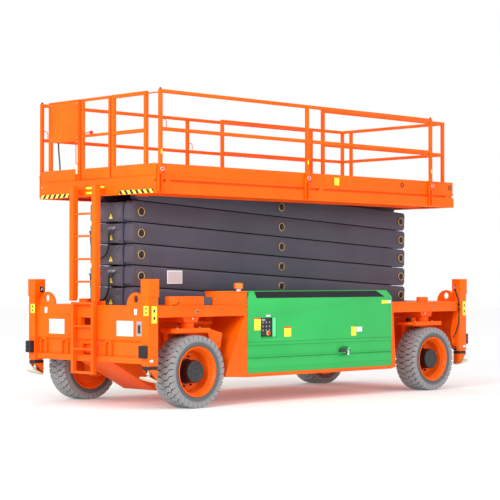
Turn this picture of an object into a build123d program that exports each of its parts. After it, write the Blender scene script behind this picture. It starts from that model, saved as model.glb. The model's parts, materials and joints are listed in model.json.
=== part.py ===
"""Rough-terrain scissor lift.

X runs along the machine away from the ladder end, the near side is at -Y, Z is up, and the origin is on
the ground under the middle. All sizes are in millimetres.
"""
from build123d import *

import math
import os

# scissor stack: the lowest fixed pin stands at (-PIN_X, PIN_Z) and each level adds LEVEL_PITCH
ARM_LEVELS = 6
PIN_X = 2680.0
PIN_Z = 1154.0
LEVEL_PITCH = 288.0
ARM_HEIGHT = 274.0
ARM_CORNER = 34.0
OUTER_LANE = (284.0, 425.0)
INNER_LANE = (120.0, 250.0)
TAIL_LEFT = 172.0
TAIL_RIGHT = 100.0
TAIL_AT_DECK = 60.0
END_BOX_HALF = 130.0
SHAFT_R = 48.0
SHAFT_PLAY = 1.5
BOSS_R = 59.0
BOSS_PROUD = 12.0
ROLLER_REACH = 505.0
HOSE_FRAMES = (3, 5)
OUTLET_X = -2918.0
OUTLET_Y = (-50.0, 336.0)
OUTLET_NEAR_Z = 4.0
OUTLET_FAR_Z = 16.0
LOOP_R = 15.0
HOSE_SIDES = 4
ARM_LENGTH = math.hypot(2 * PIN_X, LEVEL_PITCH)
ARM_TILT = math.degrees(math.atan2(LEVEL_PITCH, 2 * PIN_X))
DECK_PIN_Z = PIN_Z + ARM_LEVELS * LEVEL_PITCH
DECK_TRIM_Z = DECK_PIN_Z + 60.0

# wheels
WHEEL_X = 2430.0
TYRE_R = 478.0
CARCASS_R = 450.0
TYRE_IN_Y = 933.0
TYRE_OUT_Y = 1283.0
LUGS = 18
FACETS = 18
RIM_SEAT_R = 262.0
RIM_LIP_R = 330.0
HUB_R = 148.0
HUB_FACE_Y = 1254.0
DISC_Y = 1045.0
KINGPIN_Y = 1070.0
KINGPIN_R = 50.0

# end frames and outriggers
END_X = 3266.0
BEAM_X = 3226.0
TUBE_X = 160.0
TUBE_Y = 134.0
TUBE_OUT_Y = 1264.0
TUBE_TOP = 1691.0
TUBE_BOTTOM = 580.0
TUBE_WALL = 8.0
CAP_BOTTOM = 1460.0
LUG_Y = 935.0
LUG_EYE_Y = 935.0
LUG_EYE_Z = 1431.0
LUG_EYE_R = 50.0
LUG_FOOT_Z = 1280.0
LOOP_Y = (-390.0, 530.0, 1000.0)
BEAM_TOP = 1348.0
BEAM_BOTTOM = 600.0

# side frames and boxes
SIDE_OUT_Y = 1250.0
SIDE_TOP = 1345.0
SIDE_BEAM_Z = 1197.0
WELL_IN_Y = 640.0
BOX_X = 1490.0
BOX_OUT_Y = 1262.0
BOX_IN_Y = 560.0
BOX_TOP = 1527.0
SILL_Z = 365.0
BELLY_Z = 172.0
SILL_IN_Y = 460.0
BELLY_Y = (-240.0, 455.0)
WEB_FOOT_X = {-1: 1900.0, 1: 1590.0}

# platform
DECK_X0 = -3105.0
DECK_X1 = 3007.0
DECK_Y = 1227.0
DECK_Z = 2797.0
SKIRT_TOP = 2945.0
FLOOR_Z = 3020.0
FLOOR_UNDER = 2978.0
TOE_TOP = 3185.0
RAIL_TOP = 4135.0
MID_RAIL = 3648.0
TUBE = 46.0
RAIL_Y = 1250.0
POST_X = (-3058.0, -320.0, 2414.0)
ENTRY_X = -3042.0
ENTRY_Y = (-973.0, 1093.0)
GATE_Y = (-235.0, 369.0)
GATE_HINGE = (-3012.0, 385.0)
EXT_X0 = 197.0
EXT_X1 = 3042.0
EXT_POST_X = 2955.0
EXT_END_POST_Y = 857.0
EXT_Y = 1050.0
LADDER_Y = 60.0
LADDER_X = -3290.0

SIDES = (("near", -1), ("far", 1))
ENDS = (("left", -1), ("right", 1))


def block(x0, x1, y0, y1, z0, z1):
    return Pos((x0 + x1) / 2, (y0 + y1) / 2, (z0 + z1) / 2) * Box(abs(x1 - x0), abs(y1 - y0), abs(z1 - z0))


def prism(points, axis, a, b):
    """Flat outline pushed along one axis, from a to b."""
    plane = {"x": Plane.YZ, "y": Plane.XZ, "z": Plane.XY}[axis]
    way = {"x": (1, 0, 0), "y": (0, 1, 0), "z": (0, 0, 1)}[axis]
    face = plane * make_face(Polyline(*points, close=True))
    return Pos(a * way[0], a * way[1], a * way[2]) * extrude(face, amount=b - a, dir=way)


def rod(axis, centre, radius, a, b, sides=8):
    """Bar of many flats along one axis from a to b, centred on the other two coordinates."""
    points = []
    for i in range(sides):
        turn = 2 * math.pi * (i + 0.5) / sides
        points.append((centre[0] + radius * math.cos(turn), centre[1] + radius * math.sin(turn)))
    return prism(points, axis, a, b)


def hole(axis, centre, radius, a, b, sides=8):
    """Cutter whose flats clear a bar of that radius."""
    return rod(axis, centre, radius / math.cos(math.pi / sides), a, b, sides)


def turned(outline, facets=FACETS):
    """Ring about the Y axis: a closed outline of (y, radius) carried round in flat facets."""
    faces = []
    for i in range(facets):
        a0 = 2 * math.pi * i / facets
        a1 = 2 * math.pi * (i + 1) / facets
        for (y0, r0), (y1, r1) in zip(outline, outline[1:] + outline[:1]):
            corners = [(r0 * math.sin(a0), y0, r0 * math.cos(a0)), (r1 * math.sin(a0), y1, r1 * math.cos(a0)),
                       (r1 * math.sin(a1), y1, r1 * math.cos(a1)), (r0 * math.sin(a1), y0, r0 * math.cos(a1))]
            faces.append(Face(Wire.make_polygon(corners, close=True)))
    return Solid(Shell(faces))


def join(pieces):
    return pieces[0].fuse(*pieces[1:]) if len(pieces) > 1 else pieces[0]


def flip_y(shape):
    return mirror(shape, about=Plane.XZ)


def flip_x(shape):
    return mirror(shape, about=Plane.YZ)


def place(shape, end, side):
    """Moves a shape drawn at +X, +Y to the named corner."""
    if end < 0:
        shape = flip_x(shape)
    if side < 0:
        shape = flip_y(shape)
    return shape


def save(shape, node):
    """Writes one node; a list holds its separate solids, which may meet face to face."""
    if isinstance(shape, list):
        shape = Compound(children=shape)
    shape.label = node
    export_step(shape, f"parts/{node}.step")


os.makedirs("parts", exist_ok=True)


# ---------------------------------------------------------------- scissor stack


def arm(tilt_sign, lane, tail_left, tail_right):
    """Arm tube about its own middle, falling toward +X for sign +1 and rising for -1."""
    left = -ARM_LENGTH / 2 - tail_left
    right = ARM_LENGTH / 2 + tail_right
    half = ARM_HEIGHT / 2
    cut = ARM_CORNER
    outline = [(left, cut - half), (left + cut, -half), (right - cut, -half), (right, cut - half),
               (right, half - cut), (right - cut, half), (left + cut, half), (left, half - cut)]
    return Rot(0, tilt_sign * ARM_TILT, 0) * prism(outline, "y", lane[0], lane[1])


def cross_shaft(x, z, reach, bosses):
    """Shaft through both arms of a pair, with a boss on each outer face."""
    pieces = [rod("y", (x, z), SHAFT_R, -reach, reach)]
    if bosses:
        for side in (-1, 1):
            pieces.append(rod("y", (x, z), BOSS_R, side * (reach - 5), side * (reach + BOSS_PROUD), 10))
    return pieces


def outer_pair(level):
    """Two outer arms on three shafts; the lowest carries the chassis rollers, the highest the deck pin."""
    mid = PIN_Z + (level - 0.5) * LEVEL_PITCH
    highest = level == ARM_LEVELS
    lowest = level == 1
    tail_left = TAIL_AT_DECK if highest else TAIL_LEFT
    pieces = []
    for lane in (OUTER_LANE, (-OUTER_LANE[1], -OUTER_LANE[0])):
        bar = Pos(0, 0, mid) * arm(1, lane, tail_left, TAIL_RIGHT)
        if highest:
            bar -= block(-2900, -1700, lane[0] - 5, lane[1] + 5, DECK_TRIM_Z, DECK_TRIM_Z + 200)
        pieces.append(bar)
    pieces += cross_shaft(0, mid, OUTER_LANE[1], True)
    pieces += cross_shaft(-PIN_X, mid + LEVEL_PITCH / 2, 478 if highest else OUTER_LANE[1], not highest)
    pieces += cross_shaft(PIN_X, mid - LEVEL_PITCH / 2, OUTER_LANE[1], not lowest)
    pair = [join(pieces)]
    if lowest:
        for side in (-1, 1):
            pair.append(rod("y", (PIN_X, PIN_Z), SHAFT_R, side * OUTER_LANE[1], side * ROLLER_REACH))
    return pair


def hose_outlets(z):
    """Elbow and bracket on an end box, where a hose loop leaves and comes back."""
    face = -PIN_X - TAIL_LEFT + 4
    near_y, far_y = OUTLET_Y
    low = z + OUTLET_FAR_Z
    return [block(OUTLET_X - 19, face, near_y - 24, near_y + 24, z + OUTLET_NEAR_Z, z + 48),
            block(OUTLET_X - 19, face, 200, 240, low, low + 18),
            block(OUTLET_X - 19, OUTLET_X + 14, 200, far_y + 19, low, low + 22)]


def inner_frame(level):
    """Two inner arms tied by an end box at each end, a centre sleeve and two braces."""
    mid = PIN_Z + (level - 0.5) * LEVEL_PITCH
    low_z = mid - LEVEL_PITCH / 2
    high_z = mid + LEVEL_PITCH / 2
    highest = level == ARM_LEVELS
    width = INNER_LANE[1]
    tail_right = TAIL_AT_DECK if highest else TAIL_RIGHT
    pieces = []
    for lane in (INNER_LANE, (-INNER_LANE[1], -INNER_LANE[0])):
        pieces.append(Pos(0, 0, mid) * arm(-1, lane, TAIL_LEFT, tail_right))
    right_top = high_z + (55 if highest else END_BOX_HALF)
    pieces.append(block(-PIN_X - TAIL_LEFT + 4, -PIN_X + 150, -width, width,
                        low_z - END_BOX_HALF, low_z + END_BOX_HALF))
    pieces.append(block(PIN_X - 150, PIN_X + tail_right - 8, -width, width, high_z - END_BOX_HALF, right_top))
    pieces.append(rod("y", (0, mid), 80, -width, width))
    for x in (-1300, 1300):
        z = mid + x * math.tan(math.radians(ARM_TILT))
        pieces.append(block(x - 60, x + 60, -INNER_LANE[0], INNER_LANE[0], z - 60, z + 60))
    if level in HOSE_FRAMES:
        pieces += hose_outlets(low_z)
    frame = join(pieces)
    if highest:
        frame -= block(1700, 2900, -300, 300, DECK_TRIM_Z, DECK_TRIM_Z + 300)
    bores = [(0, mid), (-PIN_X, low_z)]
    if not highest:
        bores.append((PIN_X, high_z))
    for spot in bores:
        frame -= hole("y", spot, SHAFT_R + SHAFT_PLAY, -300, 300)
    if highest:
        frame = join([frame, rod("y", (PIN_X, DECK_PIN_Z), SHAFT_R, -ROLLER_REACH, ROLLER_REACH)])
    return frame


for number in range(1, ARM_LEVELS + 1):
    save(outer_pair(number), f"outer_arms_{number}")
    save(inner_frame(number), f"inner_arms_{number}")


# ---------------------------------------------------------------- chassis


def roller_track(z):
    """Channel open toward the stack, on the far side, with play over the rollers."""
    half = 66
    gap = SHAFT_R + 6
    outline = [(450, z - half), (530, z - half), (530, z + half), (450, z + half),
               (450, z + gap), (518, z + gap), (518, z - gap), (450, z - gap)]
    return prism(outline, "x", 820, 2790)


# belly: a deep trough under the ladder end and a shallow pan over the rest
trough = [(-3146, 655), (-2240, BELLY_Z), (-1480, BELLY_Z), (-1180, 372), (-1180, 690), (-3146, 690)]
pan = [(-1180, 372), (2560, 372), (3146, 655), (3146, 690), (-1180, 690)]
save([prism(outline, "y", BELLY_Y[0], BELLY_Y[1]) for outline in (trough, pan)], "belly_pan")

# base of the stack: two long rails with cross members, ears for the fixed pin, roller tracks on posts
base = [rod("y", (-PIN_X, PIN_Z), SHAFT_R, -256, 256)]
for x in (-3060, 0, 3060):
    base.append(block(x - 70, x + 70, -300, 300, 700, 860))
ear = [(-PIN_X - 130, 860), (-PIN_X + 130, 860), (-PIN_X + 60, PIN_Z + 75), (-PIN_X - 60, PIN_Z + 75)]
for side in (-1, 1):
    base.append(block(-3146, 3146, side * 300, side * 420, 690, 880))
    base.append(block(-PIN_X - 130, -PIN_X + 130, side * 256, side * 300, 700, 860))
    base.append(prism(ear, "y", side * 256, side * 280))
    for x in (900, 2720):
        base.append(block(x - 30, x + 30, side * 420, side * 530, 690, 800))
        base.append(block(x - 30, x + 30, side * 450, side * 530, 800, PIN_Z - 66))
    base.append(block(820, 2790, side * 518, side * 530, PIN_Z - 66, PIN_Z + 66))
    for z in (PIN_Z - 66, PIN_Z + 54):
        base.append(block(820, 2790, side * 450, side * 518, z, z + 12))
save(base, "stack_base")


def side_frame():
    """Side of the chassis on the far side: sill, well walls, beams over the wheels and kingpin housings."""
    pieces = [block(-BOX_X - 8, BOX_X + 8, SILL_IN_Y, SIDE_OUT_Y, SILL_Z, 413)]
    for end in (-1, 1):
        foot = WEB_FOOT_X[end]
        x_box = end * (BOX_X + 8)
        beam = [(SIDE_OUT_Y, SIDE_BEAM_Z), (SIDE_OUT_Y, SIDE_TOP - 22), (SIDE_OUT_Y + 8, SIDE_TOP - 22),
                (SIDE_OUT_Y + 8, SIDE_TOP), (WELL_IN_Y - 60, SIDE_TOP), (WELL_IN_Y - 60, SIDE_TOP - 12),
                (SIDE_OUT_Y - 130, SIDE_TOP - 12), (SIDE_OUT_Y - 130, SIDE_BEAM_Z)]
        pieces.append(prism(beam, "x", x_box, end * 3104))
        pieces.append(block(x_box, end * 3146, WELL_IN_Y - 60, WELL_IN_Y, 610, SIDE_TOP - 6))
        pieces.append(block(x_box, end * 2200, SILL_IN_Y, WELL_IN_Y - 50, 610, 690))
        web = [(end * 1540, SIDE_BEAM_Z + 8), (end * foot, 413), (end * foot, 386), (end * 1480, SILL_Z),
               (x_box, 413), (x_box, SIDE_BEAM_Z + 8)]
        pieces.append(prism(web, "y", SIDE_OUT_Y - 12, SIDE_OUT_Y))
        slant = [(end * 1540, SIDE_BEAM_Z + 8), (end * foot, 413), (end * foot, 386), (end * (foot - 18), 386),
                 (end * 1522, SIDE_BEAM_Z + 8)]
        pieces.append(prism(slant, "y", WELL_IN_Y - 60, SIDE_OUT_Y))
        pieces.append(block(end * 1480, end * (foot - 16), SILL_IN_Y, SIDE_OUT_Y, 386, 398))
        housing = [(end * (WHEEL_X - 150), SIDE_BEAM_Z), (end * (WHEEL_X - 110), 1120),
                   (end * (WHEEL_X + 110), 1120), (end * (WHEEL_X + 150), SIDE_BEAM_Z),
                   (end * (WHEEL_X + 150), SIDE_TOP - 8), (end * (WHEEL_X - 150), SIDE_TOP - 8)]
        pieces.append(prism(housing, "y", WELL_IN_Y - 10, SIDE_OUT_Y - 100))
        pieces.append(rod("z", (end * WHEEL_X, KINGPIN_Y), 68, 1120, 1392, 10))
        pieces.append(rod("z", (end * WHEEL_X, KINGPIN_Y), 87, 1384, 1412, 12))
    frame = join(pieces)
    for end in (-1, 1):
        frame -= hole("z", (end * WHEEL_X, KINGPIN_Y), KINGPIN_R + 1, 1100, 1390)
    return frame


save(side_frame(), "side_frame_far")
save(flip_y(side_frame()), "side_frame_near")


def lifting_lug():
    """Half-round plate with its eye, on the far side of the end frame at +X."""
    arch = [(LUG_Y + 178, LUG_FOOT_Z), (LUG_Y - 178, LUG_FOOT_Z)]
    for i in range(9):
        turn = math.pi * (1 - i / 8)
        arch.append((LUG_Y + 178 * math.cos(turn), 1345 + 174 * math.sin(turn)))
    plate = prism(arch, "x", BEAM_X - 48, BEAM_X - 22)
    return plate - Pos(BEAM_X - 35, LUG_EYE_Y, LUG_EYE_Z) * Rot(0, 90, 0) * Cylinder(LUG_EYE_R, 60)


def tie_loop(y):
    """Bar bent to an arch that stands in the lower recess of the end beam."""
    outline = [(y - 74, 692), (y - 74, 850), (y - 48, 892), (y + 48, 892), (y + 74, 850), (y + 74, 692),
               (y + 50, 692), (y + 50, 842), (y + 36, 866), (y - 36, 866), (y - 50, 842), (y - 50, 692)]
    return prism(outline, "x", BEAM_X - 42, BEAM_X - 14)


def end_frame():
    """Folded cross beam at +X between two outrigger tubes, with lugs and tie-down loops."""
    beam_y = TUBE_OUT_Y - TUBE_Y + 5
    section = [(BEAM_X - 80, BEAM_TOP), (BEAM_X - 20, BEAM_TOP), (BEAM_X - 2, 1216), (BEAM_X - 10, 1200),
               (BEAM_X - 10, 897), (BEAM_X - 40, 868), (BEAM_X - 40, 690), (BEAM_X, 676),
               (BEAM_X, BEAM_BOTTOM), (BEAM_X - 80, BEAM_BOTTOM)]
    beam = prism(section, "y", -beam_y, beam_y)
    for z0, z1 in ((690, 830), (1080, 1180)):
        beam -= block(BEAM_X - 120, BEAM_X + 20, LADDER_Y - 95, LADDER_Y + 120, z0, z1)
    pieces = [beam]
    for side in (-1, 1):
        y_out = side * TUBE_OUT_Y
        y_in = side * (TUBE_OUT_Y - TUBE_Y)
        tube = join([block(END_X - TUBE_X, END_X, y_in, y_out, TUBE_BOTTOM, TUBE_TOP - 10),
                     block(END_X - TUBE_X - 8, END_X + 8, y_in - side * 11, y_out + side * 11, CAP_BOTTOM, TUBE_TOP)])
        tube -= block(END_X - TUBE_X + TUBE_WALL, END_X - TUBE_WALL, y_in + side * TUBE_WALL,
                      y_out - side * TUBE_WALL, 500, TUBE_TOP - 16)
        pieces.append(tube)
        gusset = [(END_X - TUBE_X + 5, 1190), (END_X - TUBE_X + 5, 640), (END_X - TUBE_X - 40, 690),
                  (END_X - TUBE_X - 75, 860)]
        pieces.append(prism(gusset, "y", y_in + side * 8, y_in + side * 20))
        lug = lifting_lug()
        pieces.append(lug if side > 0 else flip_y(lug))
    pieces += [tie_loop(y) for y in LOOP_Y]
    return join(pieces)


save(end_frame(), "end_frame_right")
frame_left = mirror(end_frame(), about=Plane.YZ)
save(frame_left, "end_frame_left")

bumper = block(END_X, END_X + 76, TUBE_OUT_Y - 122, TUBE_OUT_Y - 14, 680, 842)
save([place(bumper, end, side) for _, end in ENDS for _, side in SIDES], "bumpers")


def outrigger_leg():
    """Inner tube with its wiper band, drive guard, ball stem and tilted foot pad, at +X on the far side."""
    x = END_X - TUBE_X / 2
    y = TUBE_OUT_Y - TUBE_Y / 2
    pieces = [block(x - 66, x + 66, y - 53, y + 53, 545, 1600)]
    pieces.append(block(x - 78, x + 78, y - 65, y + 65, 530, 572))
    guard = [(x + 76, 532), (x - 76, 532), (x - 76, 395), (x - 60, 380)]
    pieces.append(prism(guard, "y", y - 62, y - 54))
    pieces.append(prism(guard, "y", y + 54, y + 62))
    pieces.append(block(x - 76, x - 68, y - 62, y + 62, 390, 535))
    pieces.append(rod("z", (x + 20, y), 24, 420, 540))
    pad = Pos(x + 20, y, 420) * Rot(0, -18, 0)
    pieces.append(pad * rod("z", (0, 0), 118, -24, -8, 12))
    pieces.append(pad * rod("z", (0, 0), 48, -14, 14))
    return join(pieces)


for end_name, end in ENDS:
    for side_name, side in SIDES:
        save(place(outrigger_leg(), end, side), f"outrigger_leg_{end_name}_{side_name}")

# lower ladder: two side bars with box steps, on feet that meet the end beam
pieces = []
for y in (LADDER_Y - 235, LADDER_Y + 190):
    pieces.append(block(LADDER_X, LADDER_X + 58, y, y + 50, 432, 1385))
    pieces.append(block(LADDER_X + 50, -BEAM_X, y + 5, y + 45, 610, 660))
for z in (1367, 1061, 757, 449):
    step = [(LADDER_X + 4, z + 16), (LADDER_X + 54, z + 16), (LADDER_X + 54, z - 22), (LADDER_X + 20, z - 18),
            (LADDER_X + 4, z - 8)]
    pieces.append(prism(step, "y", LADDER_Y - 190, LADDER_Y + 195))
save(join(pieces), "lower_ladder")

# side boxes: closed covers with chamfered ends, a fold and a lower ridge
for side_name, side in SIDES:
    y_in = BOX_IN_Y + 4
    section = [(y_in, 416), (BOX_OUT_Y - 12, 416), (BOX_OUT_Y - 12, 470), (BOX_OUT_Y, 490),
               (BOX_OUT_Y - 14, 500), (BOX_OUT_Y - 14, 780), (BOX_OUT_Y, 795), (BOX_OUT_Y, 1430),
               (BOX_OUT_Y - 55, BOX_TOP), (y_in, BOX_TOP)]
    cover = prism(section, "x", -BOX_X, BOX_X)
    for end in (-1, 1):
        corner = [(end * BOX_X + end, 1425), (end * (BOX_X - 62), BOX_TOP + 1), (end * BOX_X + end, BOX_TOP + 1)]
        cover -= prism(corner, "y", 500, 1300)
    if side < 0:
        cover = flip_y(cover)
        well = [(-1250, -1290), (-1250, -BOX_OUT_Y + 22), (-1026, -BOX_OUT_Y + 22), (-936, -BOX_OUT_Y), (-936, -1290)]
        cover -= prism(well, "z", 904, 1163)
        cover -= prism([(-1290, 862), (-BOX_OUT_Y, 862), (-BOX_OUT_Y + 22, 905), (-1290, 905)], "x", -1250, -1026)
    save(cover, f"side_box_{side_name}")

panel = [block(-1243, -1032, -BOX_OUT_Y + 6, -BOX_OUT_Y + 22, 908, 1156)]
panel.append(rod("y", (-1100, 952), 24, -BOX_OUT_Y - 18, -BOX_OUT_Y + 8, 12))
save(join(panel), "ground_control_panel")

oval = []
for i in range(16):
    oval.append((435 + 142 * math.cos(math.pi * i / 8), 664 + 76 * math.sin(math.pi * i / 8)))
save(prism(oval, "y", -BOX_OUT_Y - 6, -BOX_OUT_Y + 14), "filler_cap")

bracket = [block(-2120, -1500, -SIDE_OUT_Y + 5, -SIDE_OUT_Y + 13, SIDE_TOP, 1519)]
bracket.append(block(-2134, -1496, -SIDE_OUT_Y - 6, -SIDE_OUT_Y + 160, 1517, 1528))
bracket.append(block(-2120, -2112, -SIDE_OUT_Y + 5, -SIDE_OUT_Y + 160, SIDE_TOP, 1519))
save(join(bracket), "beacon_bracket")
BEACON = (-1690, -1190)
save(join([rod("z", BEACON, 36, 1528, 1556, 12), rod("z", BEACON, 62, 1552, 1640, 12)]), "beacon")
beam_box = [block(-2900, -2290, -1248, -1162, SIDE_TOP, 1466), block(-2290, -2141, -1240, -1162, SIDE_TOP, 1455)]
save(beam_box, "beam_box")

# steering rams along the inner well walls, each reaching over its knuckle's arm
RAM_Y = 765.0
RAM_Z = 1100.0
ram = join([rod("x", (RAM_Y, RAM_Z), 34, 1745, 2085), rod("x", (RAM_Y, RAM_Z), 20, 2080, 2290, 6),
            block(1720, 1780, WELL_IN_Y, RAM_Y + 34, RAM_Z - 25, RAM_Z + 25)])
save([place(ram, end, side) for _, end in ENDS for _, side in SIDES], "steering_rams")


# ---------------------------------------------------------------- wheels


def knuckle():
    """Kingpin over the wheel, top plate, inner leg and hub carrier, at +X on the far side."""
    plate = [(WHEEL_X - 290, 1210), (WHEEL_X + 290, 1210), (WHEEL_X + 330, 1130), (WHEEL_X + 250, 820),
             (WHEEL_X + 140, 735), (WHEEL_X - 200, 735), (WHEEL_X - 330, 1000), (WHEEL_X - 330, 1130)]
    pieces = [prism(plate, "z", 985, 1045)]
    pieces.append(rod("z", (WHEEL_X, KINGPIN_Y), KINGPIN_R, 1040, 1380, 10))
    leg = [(WHEEL_X - 180, 1000), (WHEEL_X + 180, 1000), (WHEEL_X + 130, 380), (WHEEL_X + 60, 330),
           (WHEEL_X - 60, 330), (WHEEL_X - 130, 380)]
    pieces.append(prism(leg, "y", 800, 880))
    guard = [(WHEEL_X - 290, 1045), (WHEEL_X - 560, 972), (WHEEL_X - 562, 958), (WHEEL_X - 290, 1030)]
    pieces.append(prism(guard, "y", 930, 1152))
    cheek = [(WHEEL_X - 290, 1030), (WHEEL_X - 562, 958), (WHEEL_X - 524, 760), (WHEEL_X - 350, 845),
             (WHEEL_X - 290, 990)]
    pieces.append(prism(cheek, "y", 1140, 1152))
    pieces.append(rod("y", (WHEEL_X, TYRE_R), 150, 745, 925, 12))
    pieces.append(rod("y", (WHEEL_X, TYRE_R), 54, 900, 1015, 10))
    return join(pieces)


def rim():
    """Deep-dished rim with the planetary hub on its disc, about the wheel's own axis."""
    barrel = [(TYRE_IN_Y + 3, RIM_LIP_R), (TYRE_OUT_Y - 3, RIM_LIP_R), (TYRE_OUT_Y - 3, RIM_LIP_R - 16),
              (1206, RIM_SEAT_R + 6), (DISC_Y - 20, RIM_SEAT_R), (TYRE_IN_Y + 3, RIM_LIP_R - 16)]
    disc = rod("y", (0, 0), RIM_SEAT_R + 12, DISC_Y - 24, DISC_Y, FACETS)
    flange = rod("y", (0, 0), 172, DISC_Y - 5, DISC_Y + 30, 12)
    hub = rod("y", (0, 0), HUB_R, DISC_Y - 5, HUB_FACE_Y, 12)
    return join([turned(barrel), disc, flange, hub])


def tyre():
    """Carcass with chevron lugs in two rows, about the wheel's own axis."""
    mid = (TYRE_IN_Y + TYRE_OUT_Y) / 2
    half = (TYRE_OUT_Y - TYRE_IN_Y) / 2
    outline = [(mid - half, RIM_LIP_R), (mid - half, 405), (mid - half + 26, CARCASS_R),
               (mid + half - 26, CARCASS_R), (mid + half, 405), (mid + half, RIM_LIP_R)]
    # a lug's foot on the tread: (along the tread, across from the middle)
    foot = [(-58, 6), (-8, 6), (56, half), (6, half)]
    pieces = [turned(outline)]
    for row in (-1, 1):
        lug = prism([(s, mid + row * across) for s, across in foot], "z", 404, TYRE_R - 3)
        for i in range(LUGS):
            pieces.append(Rot(0, 360 / LUGS * (i + 0.5 + (0.5 if row > 0 else 0)), 0) * lug)
    return join(pieces)


wheel_rim = Pos(WHEEL_X, 0, TYRE_R) * rim()
wheel_tyre = Pos(WHEEL_X, 0, TYRE_R) * tyre()
for end_name, end in ENDS:
    for side_name, side in SIDES:
        save(place(knuckle(), end, side), f"steering_knuckle_{end_name}_{side_name}")
        save(place(wheel_rim, end, side), f"rim_{end_name}_{side_name}")
        save(place(wheel_tyre, end, side), f"tyre_{end_name}_{side_name}")


# ---------------------------------------------------------------- platform


def deck_side():
    """Long side member, far side: channel skirt, floor edge, roller track, pin bracket and cross ties."""
    skirt = [(DECK_Y - 90, DECK_Z), (DECK_Y, DECK_Z), (DECK_Y, SKIRT_TOP), (DECK_Y - 40, SKIRT_TOP),
             (DECK_Y - 40, FLOOR_UNDER + 2), (DECK_Y - 54, FLOOR_UNDER + 2), (DECK_Y - 54, SKIRT_TOP - 12),
             (DECK_Y - 12, SKIRT_TOP - 12), (DECK_Y - 12, DECK_Z + 12), (DECK_Y - 90, DECK_Z + 12)]
    pieces = [prism(skirt, "x", DECK_X0, DECK_X1)]
    pieces.append(block(DECK_X0 + 10, DECK_X1 - 10, 532, 572, DECK_Z + 6, FLOOR_UNDER + 2))
    pieces.append(roller_track(DECK_PIN_Z))
    bracket = block(-PIN_X - 95, -PIN_X + 95, 440, 475, DECK_PIN_Z - 85, FLOOR_UNDER + 2)
    pieces.append(bracket - hole("y", (-PIN_X, DECK_PIN_Z), SHAFT_R + SHAFT_PLAY, 400, 520))
    pieces.append(block(-PIN_X - 95, -PIN_X + 95, 470, 540, DECK_PIN_Z + 70, FLOOR_UNDER + 2))
    for x in (900, 1800, 2720):
        pieces.append(block(x - 30, x + 30, 525, 540, DECK_PIN_Z - 60, FLOOR_UNDER + 2))
    for x in (-2900, 0, 2850):
        pieces.append(block(x - 40, x + 40, 560, DECK_Y - 5, 2870, FLOOR_UNDER + 2))
    return join(pieces)


deck = [deck_side(), flip_y(deck_side())]
for x0, x1 in ((DECK_X0, DECK_X0 + 12), (DECK_X1 - 12, DECK_X1)):
    deck.append(block(x0, x1, -DECK_Y, DECK_Y, DECK_Z, SKIRT_TOP))
    deck.append(block(x0, x1, 40 - DECK_Y, DECK_Y - 40, SKIRT_TOP - 5, FLOOR_UNDER + 2))
deck.append(block(DECK_X0, DECK_X1, 10 - DECK_Y, DECK_Y - 10, FLOOR_UNDER, FLOOR_Z))
save(join(deck), "platform_deck")

# toe boards along both sides and beside the gate, with the pockets that hold the rail posts
def toe_boards(side):
    """Folded board of one side with its end board and pockets, as plates that meet face to face."""
    y = side * DECK_Y
    sections = ([(y - side * 4, FLOOR_Z + 34), (y - side * 4, TOE_TOP), (y - side * 12, TOE_TOP),
                 (y - side * 12, FLOOR_Z + 34)],
                [(y - side * 20, FLOOR_Z), (y - side * 12, FLOOR_Z), (y - side * 4, FLOOR_Z + 34),
                 (y - side * 12, FLOOR_Z + 34), (y - side * 20, FLOOR_Z + 26)],
                [(y - side * 48, FLOOR_Z), (y - side * 20, FLOOR_Z), (y - side * 20, FLOOR_Z + 6),
                 (y - side * 48, FLOOR_Z + 6)])
    boards = [prism(section, "x", DECK_X0 + 18, DECK_X1 - 16) for section in sections]
    inner = -322 if side < 0 else 452
    boards.append(block(DECK_X0 + 4, DECK_X0 + 12, inner, y - side * 10, FLOOR_Z, TOE_TOP))
    boards.append(block(DECK_X0 + 12, DECK_X0 + 18, y - side * 30, y - side * 10, FLOOR_Z, TOE_TOP - 20))
    for x in POST_X:
        boards.append(block(x - 36, x + 36, y - side * 4, y, FLOOR_Z + 40, 3120))
        for offset in (-36, 25):
            boards.append(block(x + offset, x + offset + 11, y, y + side * 34, DECK_Z + 18, 3120))
        boards.append(block(x - 25, x + 25, y, y + side * 34, 3040, 3058))
    return boards


save(toe_boards(-1) + toe_boards(1), "toe_boards")


def rail(x0, x1, y0, y1, z):
    """Level rail tube whose top is at z; the two ends differ in X or in Y."""
    half = TUBE / 2
    if abs(x1 - x0) > abs(y1 - y0):
        return block(x0, x1, y0 - half, y0 + half, z - TUBE, z)
    return block(x0 - half, x0 + half, y0, y1, z - TUBE, z)


def post(x, y, z0, z1, width=TUBE):
    return block(x - width / 2, x + width / 2, y - width / 2, y + width / 2, z0, z1)


for side_name, side in SIDES:
    y = side * RAIL_Y
    pieces = [rail(POST_X[0], POST_X[2], y, y, z) for z in (RAIL_TOP, MID_RAIL)]
    pieces += [post(x, y, 3058, RAIL_TOP) for x in POST_X]
    save(join(pieces), f"side_rail_{side_name}")

# rails beside the gate: bars between square posts, thin links to the corner posts and the controls' plate
entry = []
for y0, y1 in ((ENTRY_Y[0], GATE_Y[0] - 37), (GATE_Y[1] + 33, ENTRY_Y[1])):
    entry += [rail(ENTRY_X, ENTRY_X, y0 + TUBE, y1 - TUBE, z) for z in (RAIL_TOP, MID_RAIL)]
    entry += [post(ENTRY_X, y, FLOOR_Z + 1, RAIL_TOP) for y in (y0 + TUBE / 2, y1 - TUBE / 2)]
entry.append(block(ENTRY_X - 8, ENTRY_X + 8, ENTRY_Y[1], RAIL_Y - TUBE / 2, 4094, 4110))
entry.append(block(ENTRY_X - 8, ENTRY_X + 8, TUBE / 2 - RAIL_Y, ENTRY_Y[0], 4094, 4110))
entry.append(block(ENTRY_X - TUBE / 2 - 8, ENTRY_X - TUBE / 2, 415, 1049, 3570, RAIL_TOP - 2))
save(entry, "entry_rail")

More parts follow.
